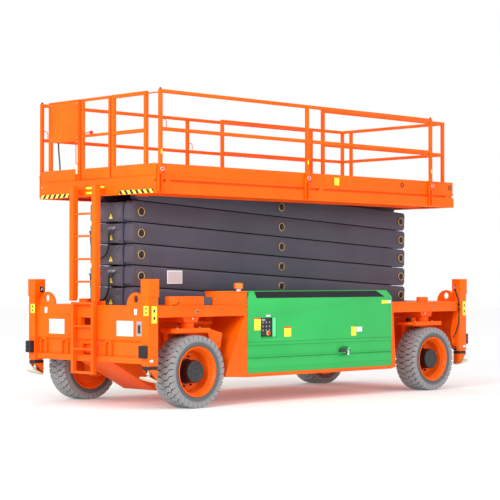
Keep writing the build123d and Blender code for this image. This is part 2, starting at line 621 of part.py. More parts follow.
GATE_TUBE = 36.0
x0, x1 = ENTRY_X - GATE_TUBE / 2, ENTRY_X + GATE_TUBE / 2
gate = [block(x0, x1, GATE_Y[0], GATE_Y[1], RAIL_TOP - GATE_TUBE, RAIL_TOP),
        block(x0, x1, GATE_Y[0], GATE_Y[1], MID_RAIL - GATE_TUBE, MID_RAIL),
        block(x0, x0 + 8, GATE_Y[0], GATE_Y[1], FLOOR_Z + 14, TOE_TOP)]
for y in (GATE_Y[0], GATE_Y[1] - GATE_TUBE):
    gate.append(block(x0, x1, y, y + GATE_TUBE, FLOOR_Z + 14, RAIL_TOP))
for z in (3300, 4000):
    gate.append(rod("z", GATE_HINGE, 9, z - 35, z + 35))
    gate.append(block(ENTRY_X, GATE_HINGE[0], GATE_Y[1] - 10, GATE_HINGE[1], z - 10, z + 10))
save(join(gate), "gate")

# control box behind the plate of the entry rail
save(block(ENTRY_X + TUBE / 2, ENTRY_X + 190, 600, 1030, 3820, 4060), "platform_control_box")

# upper ladder hung in front of the deck's end
UPPER_TOP = 2940.0
pieces = []
stringer = [(LADDER_X, 1400), (LADDER_X + 66, 1400), (LADDER_X + 84, 1460), (LADDER_X + 84, UPPER_TOP),
            (LADDER_X, UPPER_TOP)]
for y in (LADDER_Y - 278, LADDER_Y + 195):
    pieces.append(prism(stringer, "y", y, y + 82))
    pieces.append(block(LADDER_X + 60, DECK_X0, y + 20, y + 62, 2830, 2900))
for z in (2562, 2264, 1957, 1656):
    pieces.append(block(LADDER_X + 24, LADDER_X + 54, LADDER_Y - 200, LADDER_Y + 200, z - 14, z + 14))
save(join(pieces), "upper_ladder")

# sliding extension inside the main rails
EXT_TOE_Y = EXT_Y + 34
floor = [block(EXT_X0, EXT_X1, -EXT_TOE_Y, EXT_TOE_Y, FLOOR_Z + 8, FLOOR_Z + 28)]
floor.append(block(EXT_X1 - 8, EXT_X1, -EXT_TOE_Y, EXT_TOE_Y, FLOOR_Z + 8, TOE_TOP))
for side in (-1, 1):
    floor.append(block(EXT_X0, EXT_X1, side * (EXT_TOE_Y - 8), side * EXT_TOE_Y, FLOOR_Z + 8, TOE_TOP - 20))
save(join(floor), "extension_deck")

EXT_TUBE = 46.0
x_end = EXT_POST_X - EXT_TUBE / 2
pieces = []
for z in (RAIL_TOP - 4, MID_RAIL - 4):
    for side in (-1, 1):
        y0, y1 = side * EXT_Y - EXT_TUBE / 2, side * EXT_Y + EXT_TUBE / 2
        pieces.append(block(EXT_X0, x_end + EXT_TUBE, y0, y1, z - EXT_TUBE, z))
    pieces.append(block(x_end, x_end + EXT_TUBE, -EXT_Y, EXT_Y, z - EXT_TUBE, z))
for side in (-1, 1):
    for x in (EXT_X0 + EXT_TUBE / 2, EXT_POST_X):
        pieces.append(post(x, side * EXT_Y, FLOOR_Z + 28, RAIL_TOP - 4, EXT_TUBE))
pieces.append(post(EXT_POST_X, EXT_END_POST_Y, FLOOR_Z + 28, RAIL_TOP - 4, EXT_TUBE))
save(join(pieces), "extension_rails")

# ---------------------------------------------------------------- hoses and cable


def hose(node, radius, points):
    """Hose along runs joined by arcs as large as the runs allow."""
    bends = []
    for a, b, c in zip(points, points[1:], points[2:]):
        before = Vector(*b) - Vector(*a)
        after = Vector(*c) - Vector(*b)
        half_turn = math.radians(before.get_angle(after)) / 2
        bends.append(0.45 * min(before.length, after.length) / math.tan(half_turn))
    print(node, "bend radii", [round(bend) for bend in bends])
    path = FilletPolyline(*points, radius=bends)
    section = Plane(origin=path @ 0, x_dir=(1, 0, 0), z_dir=path % 0) * RegularPolygon(radius, HOSE_SIDES)
    tube = sweep(section, path=path)
    print(node, "volume over section times length", round(tube.volume / (section.area * path.length), 3))
    save(tube, node)


# a loop hangs in its own plane: (across the plane, height over the frame's lower pin)
LOOP = ((OUTLET_Y[0], OUTLET_NEAR_Z), (OUTLET_Y[0], -136), (0, -285), (143, -345), (286, -285),
        (OUTLET_Y[1], -136), (OUTLET_Y[1], OUTLET_FAR_Z))
for level, node in zip(HOSE_FRAMES, ("stack_hose_lower", "stack_hose_upper")):
    pin_z = PIN_Z + (level - 1) * LEVEL_PITCH
    hose(node, LOOP_R, [(OUTLET_X, y, pin_z + z) for y, z in LOOP])

hose("platform_cable", 10, ((-2960, 1000, 3820), (-2960, 1000, 3688), (-2972, 990, 3555), (-2975, 975, 3420),
                            (-2968, 962, 3286), (-2962, 962, 3153), (-2962, 962, FLOOR_Z)))
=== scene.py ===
"""Looks of a rough-terrain scissor lift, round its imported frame: a Blender add-on, run as a script."""

import json
import math

import bmesh
import bpy
from bpy.props import FloatProperty, FloatVectorProperty, IntProperty, PointerProperty
from mathutils import Euler, Matrix, Vector


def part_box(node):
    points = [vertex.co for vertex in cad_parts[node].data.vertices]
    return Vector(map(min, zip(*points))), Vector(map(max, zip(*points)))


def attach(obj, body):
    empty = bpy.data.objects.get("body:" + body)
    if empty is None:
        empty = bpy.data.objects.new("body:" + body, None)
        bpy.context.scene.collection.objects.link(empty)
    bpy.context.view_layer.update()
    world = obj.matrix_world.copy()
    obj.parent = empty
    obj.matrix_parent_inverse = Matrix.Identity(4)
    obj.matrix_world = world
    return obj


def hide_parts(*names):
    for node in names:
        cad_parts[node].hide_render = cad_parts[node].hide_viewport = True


bl_info = {
    "name": "Scissor Lift Finish",
    "version": (1, 0, 0),
    "blender": (4, 5, 0),
    "location": "View3D > Sidebar > Scissor Lift",
    "description": "Finishes and details for a rough-terrain scissor lift",
    "category": "Object",
}

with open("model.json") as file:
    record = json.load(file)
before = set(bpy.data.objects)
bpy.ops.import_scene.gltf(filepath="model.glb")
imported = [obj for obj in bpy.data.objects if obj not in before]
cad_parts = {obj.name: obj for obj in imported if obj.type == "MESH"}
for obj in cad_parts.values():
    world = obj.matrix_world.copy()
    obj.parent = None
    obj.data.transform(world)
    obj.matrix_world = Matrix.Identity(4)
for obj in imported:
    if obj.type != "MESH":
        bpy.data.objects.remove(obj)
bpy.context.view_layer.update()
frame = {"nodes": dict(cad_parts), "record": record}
NODES = frame["nodes"]
RECORD = frame["record"]
BODY_OF = {node: body for body, nodes in RECORD["behaviour"]["bodies"].items() for node in nodes}
SLOT_OF = {part["node"]: part["material_slot"] for part in RECORD["subparts"]}
JOINT_AT = {joint["name"]: joint.get("pos_m") for joint in RECORD["behaviour"]["joints"]}
# (name, sign along X, sign along Y) of each corner
CORNERS = [(f"{end_name}_{side_name}", end, side)
           for end_name, end in (("left", -1), ("right", 1)) for side_name,
           side in (("near", -1), ("far", 1))]
LEVELS = 6
HOSE_LEVELS = (3, 5)
# for each axis: the two that lie across it, and the axis itself
AXES = {"x": (1, 2, 0), "y": (0, 2, 1), "z": (0, 1, 2)}

# places on the lift, in metres from its middle
KINGPIN_X, KINGPIN_Y = JOINT_AT["steer_right_far"][:2]
TYRE_MID = JOINT_AT["spin_right_far"][1]
PIN_X = JOINT_AT["cross_1"][0] - JOINT_AT["lift"][0]
LOW_PIN_Z = JOINT_AT["lift"][2]
LEVEL_PITCH = JOINT_AT["cross_2"][2] - JOINT_AT["cross_1"][2]
ARM_FACE = 0.425  # outer face of the outer arms
ARM_TAIL = 0.168  # an arm's reach past its end pin
BEAM_FACE = 3.216  # outer face of the end beams
TUBE_FACE = 3.266  # outer face of the outrigger tubes at the lift's ends, and then at its sides
TUBE_SIDE = 1.264
LEG_X, LEG_Y = 3.186, 1.197  # middle of the outrigger legs
COVER_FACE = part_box("side_box_near")[0][1]
PANEL_FACE = COVER_FACE + 0.006  # the ground controls' sunk panel
RAIL_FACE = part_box("entry_rail")[0][0]

# noise marks in a metre
CLOUD_SCALE = 1.7  # patches of shade about 0.6 m across
DUST_SCALE = 26.0  # specks of dust about 40 mm across
PEEL_SCALE = 220.0  # orange peel about 5 mm across, coarser than it is, so that it shows


def linear(code):
    """Linear colour of an sRGB hex string."""
    parts = [int(code[i:i + 2], 16) / 255 for i in (0, 2, 4)]
    return tuple(c / 12.92 if c <= 0.04045 else ((c + 0.055) / 1.055) ** 2.4 for c in parts) + (1.0,)


# ---------------------------------------------------------------- materials


def add(tree, kind, inputs=None, **settings):
    """One shader or geometry node with its settings, values and incoming links."""
    made = tree.nodes.new(kind)
    for name, value in settings.items():
        setattr(made, name, value)
    for name, value in (inputs or {}).items():
        socket = made.inputs[name]
        if isinstance(value, bpy.types.NodeSocket):
            tree.links.new(value, socket)
        else:
            socket.default_value = value
    return made


def new_material(name):
    material = bpy.data.materials.new(name)
    material.use_nodes = True
    material.node_tree.nodes.clear()
    return material, material.node_tree


def paint(name, colour, shade, roughness=0.42):
    """Sprayed enamel on steel: faint clouds in the colour, dust low down, orange peel in the gloss."""
    material, tree = new_material(name)
    place = add(tree, "ShaderNodeTexCoord").outputs["Object"]
    cloud = add(tree, "ShaderNodeTexNoise", {"Vector": place, "Scale": CLOUD_SCALE, "Detail": 4.0})
    cloudy = add(tree, "ShaderNodeMix", {"A": colour, "B": linear(shade)}, data_type="RGBA")
    spread = add(tree, "ShaderNodeMapRange",
                 {"Value": cloud.outputs["Fac"], "From Min": 0.35, "From Max": 0.75})
    tree.links.new(spread.outputs["Result"], cloudy.inputs["Factor"])
    height = add(tree, "ShaderNodeSeparateXYZ", {"Vector": place})
    low = add(tree, "ShaderNodeMapRange", {"Value": height.outputs["Z"], "From Min": 1.1, "From Max": 0.1})
    grit = add(tree, "ShaderNodeTexNoise",
               {"Vector": place, "Scale": DUST_SCALE, "Detail": 6.0, "Roughness": 0.7})
    film = add(tree, "ShaderNodeMath", {0: low.outputs["Result"], 1: grit.outputs["Fac"]},
               operation="MULTIPLY")
    film = add(tree, "ShaderNodeMath", {0: film.outputs[0], 1: 0.1}, operation="MULTIPLY")
    dusty = add(tree, "ShaderNodeMix",
                {"Factor": film.outputs[0], "A": cloudy.outputs["Result"], "B": linear("8A7F70")},
                data_type="RGBA")
    rough = add(tree, "ShaderNodeMapRange",
                {"Value": grit.outputs["Fac"], "To Min": roughness - 0.05, "To Max": roughness + 0.09})
    peel = add(tree, "ShaderNodeTexNoise", {"Vector": place, "Scale": PEEL_SCALE, "Detail": 2.0})
    bump = add(tree, "ShaderNodeBump", {"Height": peel.outputs["Fac"], "Strength": 0.05, "Distance": 0.002})
    shader = add(tree, "ShaderNodeBsdfPrincipled", {
        "Base Color": dusty.outputs["Result"], "Roughness": rough.outputs["Result"], "Coat Weight": 0.04,
        "Coat Roughness": 0.2, "Specular IOR Level": 0.12, "Normal": bump.outputs["Normal"]})
    add(tree, "ShaderNodeOutputMaterial", {"Surface": shader.outputs["BSDF"]})
    return material


def plain(name, code, roughness=0.5, metallic=0.0, grain=60.0, depth=0.1):
    """A moulded or machined surface whose colour and gloss vary with a grain, in marks to the metre."""
    material, tree = new_material(name)
    place = add(tree, "ShaderNodeTexCoord").outputs["Object"]
    speck = add(tree, "ShaderNodeTexNoise",
                {"Vector": place, "Scale": grain, "Detail": 5.0, "Roughness": 0.6})
    tone = add(tree, "ShaderNodeHueSaturation", {"Color": linear(code)})
    value = add(tree, "ShaderNodeMapRange", {"Value": speck.outputs["Fac"], "To Min": 0.85, "To Max": 1.15})
    tree.links.new(value.outputs["Result"], tone.inputs["Value"])
    rough = add(tree, "ShaderNodeMapRange",
                {"Value": speck.outputs["Fac"], "To Min": roughness - 0.08, "To Max": roughness + 0.08})
    bump = add(tree, "ShaderNodeBump", {"Height": speck.outputs["Fac"], "Strength": depth, "Distance": 0.002})
    shader = add(tree, "ShaderNodeBsdfPrincipled", {
        "Base Color": tone.outputs["Color"], "Roughness": rough.outputs["Result"], "Metallic": metallic,
        "Normal": bump.outputs["Normal"]})
    add(tree, "ShaderNodeOutputMaterial", {"Surface": shader.outputs["BSDF"]})
    return material


def hazard(name, slope):
    """Retroreflective hazard tape: slanted yellow and black bars that run along Y."""
    stripe = 0.055
    material, tree = new_material(name)
    place = add(tree, "ShaderNodeTexCoord").outputs["Object"]
    part = add(tree, "ShaderNodeSeparateXYZ", {"Vector": place})
    lean = add(tree, "ShaderNodeMath", {0: part.outputs["Z"], 1: slope}, operation="MULTIPLY")
    run = add(tree, "ShaderNodeMath", {0: part.outputs["Y"], 1: lean.outputs[0]}, operation="ADD")
    wave = add(tree, "ShaderNodeMath", {0: run.outputs[0], 1: stripe * 2}, operation="FLOORED_MODULO")
    side = add(tree, "ShaderNodeMath", {0: wave.outputs[0], 1: stripe}, operation="GREATER_THAN")
    colour = add(tree, "ShaderNodeMix",
                 {"Factor": side.outputs[0], "A": linear("FFE84A"), "B": linear("1B1B22")}, data_type="RGBA")
    speck = add(tree, "ShaderNodeTexNoise", {"Vector": place, "Scale": 300.0})
    bump = add(tree, "ShaderNodeBump", {"Height": speck.outputs["Fac"], "Strength": 0.1, "Distance": 0.001})
    shader = add(tree, "ShaderNodeBsdfPrincipled", {"Base Color": colour.outputs["Result"], "Roughness": 0.35,
                                                     "Normal": bump.outputs["Normal"]})
    add(tree, "ShaderNodeOutputMaterial", {"Surface": shader.outputs["BSDF"]})
    return material


# slot or detail: its material, made by the first step
FINISH = {}


# ---------------------------------------------------------------- mesh making


def set_across(axis, first, second, along):
    """Place from two values across an axis and one along it."""
    i, j, k = AXES[axis]
    place = [0.0, 0.0, 0.0]
    place[i], place[j], place[k] = first, second, along
    return place


def round_edges(part, width):
    bmesh.ops.bevel(part, geom=part.edges[:], offset=width, segments=2, profile=0.5, affect="EDGES",
                    clamp_overlap=True)


def placed(name, data):
    """A new object in the scene."""
    piece = bpy.data.objects.new(name, data)
    bpy.context.scene.collection.objects.link(piece)
    return piece


def wire(name, kind, places, radius, resolution):
    """A round bar or cord along one open spline."""
    curve = bpy.data.curves.new(name, "CURVE")
    curve.dimensions = "3D"
    spline = curve.splines.new(kind)
    spline.points.add(len(places) - 1)
    for point, place in zip(spline.points, places):
        point.co = (*place, 1)
    curve.bevel_depth = radius
    curve.bevel_resolution = resolution
    curve.use_fill_caps = True
    return curve, spline


def outward(side, start, outline):
    """Points of an outline, (along, radius), moved out by a start and set on one side."""
    return [(side * (start + along), radius) for along, radius in outline]


class Kit:
    """Small pieces gathered into one mesh that rides on one body."""

    def __init__(self, name, body="", slot="orange_paint"):
        self.name = name
        self.body = body
        self.slot = slot
        self.shape = bmesh.new()
        self.used = []

    def take(self, part, finish, smooth=False):
        """Adds one finished part in the given finish."""
        if finish not in self.used:
            self.used.append(finish)
        index = self.used.index(finish)
        bmesh.ops.recalc_face_normals(part, faces=part.faces)
        for face in part.faces:
            face.material_index = index
            face.smooth = smooth
        carrier = bpy.data.meshes.new("part")
        part.to_mesh(carrier)
        part.free()
        self.shape.from_mesh(carrier)
        bpy.data.meshes.remove(carrier)

    def box(self, x, y, z, finish, edge=0.002):
        """Block between two values on each axis, with its edges rounded."""
        part = bmesh.new()
        low = Vector((min(x), min(y), min(z)))
        high = Vector((max(x), max(y), max(z)))
        place = Matrix.Translation((low + high) / 2) @ Matrix.Diagonal((*(high - low), 1))
        bmesh.ops.create_cube(part, size=1.0, matrix=place)
        if edge:
            round_edges(part, min(edge, min(high - low) * 0.4))
        self.take(part, finish)

    def prism(self, points, axis, a, b, finish, edge=0.0015):
        """Flat outline pushed along an axis, with its edges rounded."""
        part = bmesh.new()
        rings = [[part.verts.new(set_across(axis, *point, level)) for point in points] for level in (a, b)]
        part.faces.new(rings[0])
        part.faces.new(rings[1][::-1])
        for n in range(len(points)):
            m = (n + 1) % len(points)
            part.faces.new((rings[0][n], rings[0][m], rings[1][m], rings[1][n]))
        if edge:
            round_edges(part, min(edge, abs(b - a) * 0.4))
        self.take(part, finish)

    def turned(self, outline, axis, centre, finish, steps=48, closed=False):
        """Outline of (along, radius) carried round an axis through the centre."""
        part = bmesh.new()
        turns = [2 * math.pi * n / steps for n in range(steps)]
        rings = [[part.verts.new(set_across(axis, centre[0] + radius * math.cos(turn),
                                            centre[1] + radius * math.sin(turn), along)) for turn in turns]
                 for along, radius in outline]
        pairs = list(zip(rings, rings[1:])) + ([(rings[-1], rings[0])] if closed else [])
        for first, second in pairs:
            for n in range(steps):
                m = (n + 1) % steps
                part.faces.new((first[n], first[m], second[m], second[n]))
        if not closed:
            part.faces.new(rings[0])
            part.faces.new(rings[-1][::-1])
        self.take(part, finish, True)

    def disc(self, axis, centre, radius, a, b, finish, steps=32, edge=0.002):
        """Short round with softened rims."""
        way = 1 if b > a else -1
        self.turned([(a, radius), (b - way * edge, radius), (b, radius - edge)], axis, centre, finish, steps)

    def bar(self, points, radius, finish, sides=10):
        """Bent round bar through the points, with its corners turned smoothly."""
        path = round_corners([Vector(p) for p in points], radius * 3)
        curve, _ = wire("bar", "POLY", path, radius, max(1, sides // 4))
        holder = bpy.data.objects.new("bar", curve)
        mesh = bpy.data.meshes.new_from_object(holder)
        part = bmesh.new()
        part.from_mesh(mesh)
        bpy.data.objects.remove(holder)
        bpy.data.meshes.remove(mesh)
        self.take(part, finish, True)

    def mesh(self, mesh, finish, matrix, smooth=False):
        """A copy of a made mesh, set in place."""
        part = bmesh.new()
        part.from_mesh(mesh)
        part.transform(matrix)
        self.take(part, finish, smooth)

    def as_mesh(self):
        """The gathered shape alone."""
        mesh = bpy.data.meshes.new(self.name)
        self.shape.to_mesh(mesh)
        self.shape.free()
        return mesh

    def done(self, *replaced):
        """Makes the object, rides it on its body and hides the parts that it stands for."""
        mesh = self.as_mesh()
        for finish in self.used:
            mesh.materials.append(FINISH[finish])
        mesh.set_sharp_from_angle(angle=math.radians(38))
        piece = placed(self.name, mesh)
        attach(piece, self.body)
        if replaced:
            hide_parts(*replaced)
        return piece


def round_corners(points, radius):
    """Runs of a bent bar with each corner cut by a short arc."""
    path = [points[0]]
    for before, corner, after in zip(points, points[1:], points[2:]):
        back = before - corner
        ahead = after - corner
        reach = min(radius, back.length * 0.45, ahead.length * 0.45)
        start = corner + back.normalized() * reach
        end = corner + ahead.normalized() * reach
        for step in range(5):
            t = step / 4
            path.append(start.lerp(corner, t).lerp(corner.lerp(end, t), t))
    path.append(points[-1])
    return path


def cord_curve(name, route, radius, body, node):
    """A hose or cable on one smooth curve through its route's hull."""
    curve, spline = wire(name, "NURBS", route, radius, 4)
    spline.order_u = 3
    spline.use_endpoint_u = True
    spline.resolution_u = 12
    curve.materials.append(FINISH["black_rubber"])
    piece = placed(name, curve)
    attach(piece, body)
    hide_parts(node)
    return piece


def repeat_group():
    """Copies of a part set round the Y axis at even turns."""
    tree = bpy.data.node_groups.new("repeat_round", "GeometryNodeTree")
    for name, kind in (("Geometry", "Geometry"), ("Count", "Int"), ("Start", "Float"),
                       ("Finish", "Material")):
        tree.interface.new_socket(name, in_out="INPUT", socket_type="NodeSocket" + kind)
    tree.interface.new_socket("Geometry", in_out="OUTPUT", socket_type="NodeSocketGeometry")
    given = add(tree, "NodeGroupInput").outputs
    points = add(tree, "GeometryNodePoints", {"Count": given["Count"]})
    index = add(tree, "GeometryNodeInputIndex")
    step = add(tree, "ShaderNodeMath", {0: 2 * math.pi, 1: given["Count"]}, operation="DIVIDE")
    turn = add(tree, "ShaderNodeMath", {0: index.outputs["Index"], 1: step.outputs[0], 2: given["Start"]},
               operation="MULTIPLY_ADD")
    spin = add(tree, "ShaderNodeCombineXYZ", {"Y": turn.outputs[0]})
    copies = add(tree, "GeometryNodeInstanceOnPoints",
                 {"Points": points.outputs[0], "Instance": given["Geometry"],
                                                         "Rotation": spin.outputs[0]})
    real = add(tree, "GeometryNodeRealizeInstances", {"Geometry": copies.outputs["Instances"]})
    coat = add(tree, "GeometryNodeSetMaterial",
               {"Geometry": real.outputs["Geometry"], "Material": given["Finish"]})
    add(tree, "NodeGroupOutput", {"Geometry": coat.outputs["Geometry"]})
    return tree


REPEAT_ROUND = repeat_group()


def repeated(kit, **inputs):
    holder = placed("repeated", kit.as_mesh())
    modifier = holder.modifiers.new("repeat", "NODES")
    modifier.node_group = REPEAT_ROUND
    for item in REPEAT_ROUND.interface.items_tree:
        if item.in_out == "INPUT" and item.name in inputs:
            modifier[item.identifier] = inputs[item.name]
    bpy.context.view_layer.update()
    result = bpy.data.meshes.new_from_object(holder.evaluated_get(bpy.context.evaluated_depsgraph_get()))
    bpy.data.objects.remove(holder)
    return result


# the right knuckles carry no mudguard: these are cut by a plane, through a point and square to a way out
CUT_NODES = ("steering_knuckle_right_near", "steering_knuckle_right_far")
CUT_PLACE = (2.13, 0.0, 0.99)
CUT_WAY = (-0.993, 0.0, -0.114)


def soften(node, width):
    """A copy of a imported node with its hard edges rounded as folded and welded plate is."""
    shape = bmesh.new()
    shape.from_mesh(NODES[node].data)
    bmesh.ops.remove_doubles(shape, verts=shape.verts, dist=0.00002)
    if node in CUT_NODES:
        bmesh.ops.bisect_plane(shape, geom=shape.verts[:] + shape.edges[:] + shape.faces[:],
                               plane_co=CUT_PLACE, plane_no=CUT_WAY, clear_outer=True)
        bmesh.ops.holes_fill(shape, edges=[edge for edge in shape.edges if edge.is_boundary])
    bmesh.ops.dissolve_limit(shape, angle_limit=math.radians(0.6), verts=shape.verts, edges=shape.edges)
    mesh = bpy.data.meshes.new(node + "_rounded")
    shape.to_mesh(mesh)
    shape.free()
    for face in mesh.polygons:
        face.use_smooth = True
    piece = placed(node + "_rounded", mesh)
    bevel = piece.modifiers.new("edges", "BEVEL")
    bevel.width = width
    bevel.segments = 2
    bevel.limit_method = "ANGLE"
    bevel.angle_limit = math.radians(35)
    bevel.harden_normals = True
    bevel.use_clamp_overlap = True
    bpy.context.view_layer.update()
    rounded = bpy.data.meshes.new_from_object(piece.evaluated_get(bpy.context.evaluated_depsgraph_get()))
    piece.modifiers.clear()
    rounded.materials.clear()
    rounded.materials.append(FINISH[SLOT_OF[node]])
    piece.data = rounded
    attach(piece, BODY_OF[node])
    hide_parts(node)
    return piece


# ---------------------------------------------------------------- steps


class LIFT_OT_finishes(bpy.types.Operator):
    """Mix the paints, rubbers, plastics, metals and vinyls"""
    bl_idname = "lift.finishes"
    bl_label = "Finishes"

    def execute(self, context):
        colours = context.scene.lift_colours
        FINISH.update({
            # sprayed enamel on folded plate: an even, strong orange with little gloss
            "orange_paint": paint("orange chassis enamel", colours.chassis, "FB5A02"),
            # the covers' enamel: a mid green with faint darker clouds
            "green_paint": paint("mint green cover enamel", colours.covers, "34B059"),
            # anodised sheet: pale, even and smooth
            "data_plate": plain("anodised data plate", "CDC3C9", 0.4, grain=90.0, depth=0.05),
            # painted highlight: the covers' enamel made lighter where a fold faces the light
            "light_green": paint("green enamel with painted highlight", linear("6FE39A"), "66DA91"),
            # painted shade: the covers' enamel made darker in seams and in the filler's well, where little
            # light comes
            "shade_green": paint("green enamel with painted shade", linear("12793A"), "0F6B33"),
            # matt enamel on the arms: dark grey with a blue cast
            "stack_paint": paint("graphite arm enamel", colours.stack, "4D4A57", 0.46),
            # the same on welded plates, a little lighter, so that they stand off the tubes
            "stack_plate": paint("graphite arm plate enamel", linear("5A565F"), "54505A", 0.5),
            # moulded rubber: near black, dull and finely grained
            "black_rubber": plain("moulded black rubber", "1A1A1B", 0.6),
            # rubber under road dust: mid grey and matt
            "tyre_rubber": plain("dusty tyre rubber", "5C5D60", 0.8),
            # rubber worn by gravel: pale lugs with a coarse grain
            "tread": plain("worn tread rubber", "8E8E90", 0.85, grain=35.0, depth=0.4),
            # painted shade: rubber made dark between the lugs
            "groove": plain("rubber between lugs with painted shade", "2E2E30", 0.9, grain=35.0, depth=0.3),
            # rubber on the tread's edge: a pale band
            "shoulder": plain("pale shoulder rubber", "838386", 0.85, grain=30.0, depth=0.3),
            # moulded ABS: near black with a soft shine
            "black_plastic": plain("textured black ABS", "18181A", 0.45),
            # painted cast iron: near black with slightly metallic lights
            "hub_iron": plain("black hub casting", "18181A", 0.4, 0.2, 40.0),
            # the same casting, a little brighter on its cover
            "hub_face": plain("brighter hub cover", "2E2E33", 0.45, 0.2, 40.0),
            # moulded polycarbonate: strong orange with sharp lights
            "amber_lens": plain("amber polycarbonate lens", "FF7A14", 0.2),
            # sprayed enamel on a small steel box: dark, neutral grey
            "grey_box": paint("slate grey box enamel", linear("4A4B4D"), "444547"),
            # bronze rings: a warm metallic line round each pin
            "brass": plain("bronze pin ring", "C8A06A", 0.35, 0.6),
            # zinc plating: a pale, cool metal
            "steel": plain("zinc plated steel", "C6C9CF", 0.35, 0.6),
            # blackened and oiled steel: dark with soft metallic lights
            "dark_steel": plain("oiled dark steel", "1E1C1E", 0.4, 0.4),
            # printed vinyl: smooth, bright white
            "white_label": plain("white vinyl label", "F4F4F6", 0.4, grain=20.0, depth=0.02),
            # printed vinyl: smooth, bright yellow
            "yellow_label": plain("yellow vinyl label", "FFE838", 0.4, grain=20.0, depth=0.02),
            # anodised aluminium: silver grey, softly metallic
            "silver_plate": plain("anodised rating plate", "AEB4C0", 0.35, 0.5),
            # printed vinyl: smooth, very dark blue grey
            "black_band": plain("black vinyl band", "24232E", 0.35, grain=30.0, depth=0.02),
            # dipped PVC: bright, glossy red
            "red_cap": plain("red push cap", "E02818", 0.35),
            # primed casting: warm off-white, rough
            "pad_paint": plain("cream cast foot pad", "D3CDB6", 0.6, grain=30.0),
            # hazard tape: yellow and black bars that lean one way, and the other way on the near side
            "hazard": hazard("hazard tape", 0.8),
            "hazard_near": hazard("yellow and black hazard tape, leaning back", -0.8),
        })
        return {"FINISHED"}


class LIFT_OT_hoses(bpy.types.Operator):
    """Hose loops at the ladder end of the stack, and the cable under the platform's controls"""
    bl_idname = "lift.hoses"
    bl_label = "Hoses and cable"

    def execute(self, context):
        # a loop in its own plane: (across, height over its frame's lower pin)
        loop = ((-0.05, 0.004), (-0.05, -0.136), (0.0, -0.285), (0.143, -0.345), (0.286, -0.285),
                (0.336, -0.136), (0.336, 0.016))
        for level, node in zip(HOSE_LEVELS, ("stack_hose_lower", "stack_hose_upper")):
            pin = LOW_PIN_Z + (level - 1) * LEVEL_PITCH
            route = [(-2.918, y, pin + z) for y, z in loop]
            piece = cord_curve(node + "_rubber", route, 0.015, BODY_OF[node], node)
        route = ((-2.96, 1.0, 3.82), (-2.96, 1.0, 3.688), (-2.972, 0.99, 3.555), (-2.975, 0.975, 3.42),
                 (-2.968, 0.962, 3.286), (-2.962, 0.962, 3.153), (-2.962, 0.962, 3.02))
        piece = cord_curve("platform_cable_sheath", route, 0.01, "platform", "platform_cable")
        return {"FINISHED"}


class LIFT_OT_carried_finish(bpy.types.Operator):
    """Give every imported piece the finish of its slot, and round the edges of what shows"""
    bl_idname = "lift.carried_finish"
    bl_label = "Finish carried pieces"

    def execute(self, context):
        for node, part in NODES.items():
            part.data.materials.clear()
            part.data.materials.append(FINISH[SLOT_OF[node]])
        # (start of the node's name, edge radius)
        widths = (("side_box", 0.006), ("end_frame", 0.004), ("side_frame", 0.004), ("lower_ladder", 0.003),
                  ("upper_ladder", 0.004), ("toe_boards", 0.0015), ("side_rail", 0.005), ("gate", 0.0035),
                  ("extension", 0.004), ("outer_arms", 0.008), ("inner_arms", 0.006), ("belly_pan", 0.004),
                  ("steering_knuckle", 0.006), ("stack_base", 0.004), ("beacon_bracket", 0.002),
                  ("steering_rams", 0.003))
        for node in sorted(NODES):
            for start, width in widths:
                if node.startswith(start):
                    soften(node, width)
                    break
        return {"FINISHED"}


# outlines of the tyre: (across from its middle, radius)
# from the outer shoulder's foot round the tread to the inner one
CARCASS = [(0.16, 0.331), (0.168, 0.345), (0.1735, 0.352), (0.1745, 0.36), (0.172, 0.366), (0.1745, 0.378),
           (0.175, 0.388), (0.172, 0.41), (0.163, 0.43), (0.145, 0.441), (0.0, 0.443)]
CARCASS += [(-across, radius) for across, radius in CARCASS[-2::-1]]
# skins over it: the crown between the lugs, darkened as painted shade, and the pale band on each shoulder
CROWN = [(0.164, 0.4315), (0.146, 0.4425), (0.0, 0.445), (-0.146, 0.4425), (-0.164, 0.4315), (-0.16, 0.428),
         (0.0, 0.44), (0.16, 0.428)]
BAND = [(0.1755, 0.388), (0.1752, 0.398), (0.173, 0.411), (0.1645, 0.4305), (0.16, 0.428), (0.17, 0.4)]
# outlines of the wheel: (across from the lift's middle, radius)
# the dished rim, from its outer lip to its inner one
RIM = [(1.281, 0.331), (1.2825, 0.326), (1.281, 0.32), (1.272, 0.315), (1.262, 0.311), (1.252, 0.3),
       (1.232, 0.295), (1.205, 0.292), (1.196, 0.282), (1.17, 0.277), (1.12, 0.272), (1.075, 0.264),
       (1.056, 0.252), (1.047, 0.235), (1.045, 0.2), (1.0445, 0.03), (1.021, 0.03), (1.021, 0.262),
       (0.938, 0.316), (0.936, 0.331)]
# the planetary hub, from its flange to its face, and the cover on the face
HUB = [(1.04, 0.166), (1.05, 0.166), (1.053, 0.162), (1.054, 0.152), (1.062, 0.148), (1.19, 0.148),
       (1.194, 0.1455), (1.198, 0.148), (1.228, 0.148), (1.236, 0.146)]
COVER = [(1.236, 0.145), (1.2465, 0.135), (1.2495, 0.128), (1.249, 0.118), (1.246, 0.114), (1.246, 0.05),
         (1.2515, 0.046), (1.252, 0.03)]
BOLT = [(1.044, 0.016), (1.05, 0.016), (1.05, 0.011), (1.07, 0.011), (1.073, 0.008)]
BOLT_CIRCLE = 0.197
STUD = [(1.246, 0.007), (1.2515, 0.007), (1.253, 0.005)]
STUD_CIRCLE = 0.1


# how far round the tyre a lug sweeps from the tread's middle to its shoulder, and how deep its wave is
LUG_SWEEP = 0.088
LUG_WAVE = 0.013


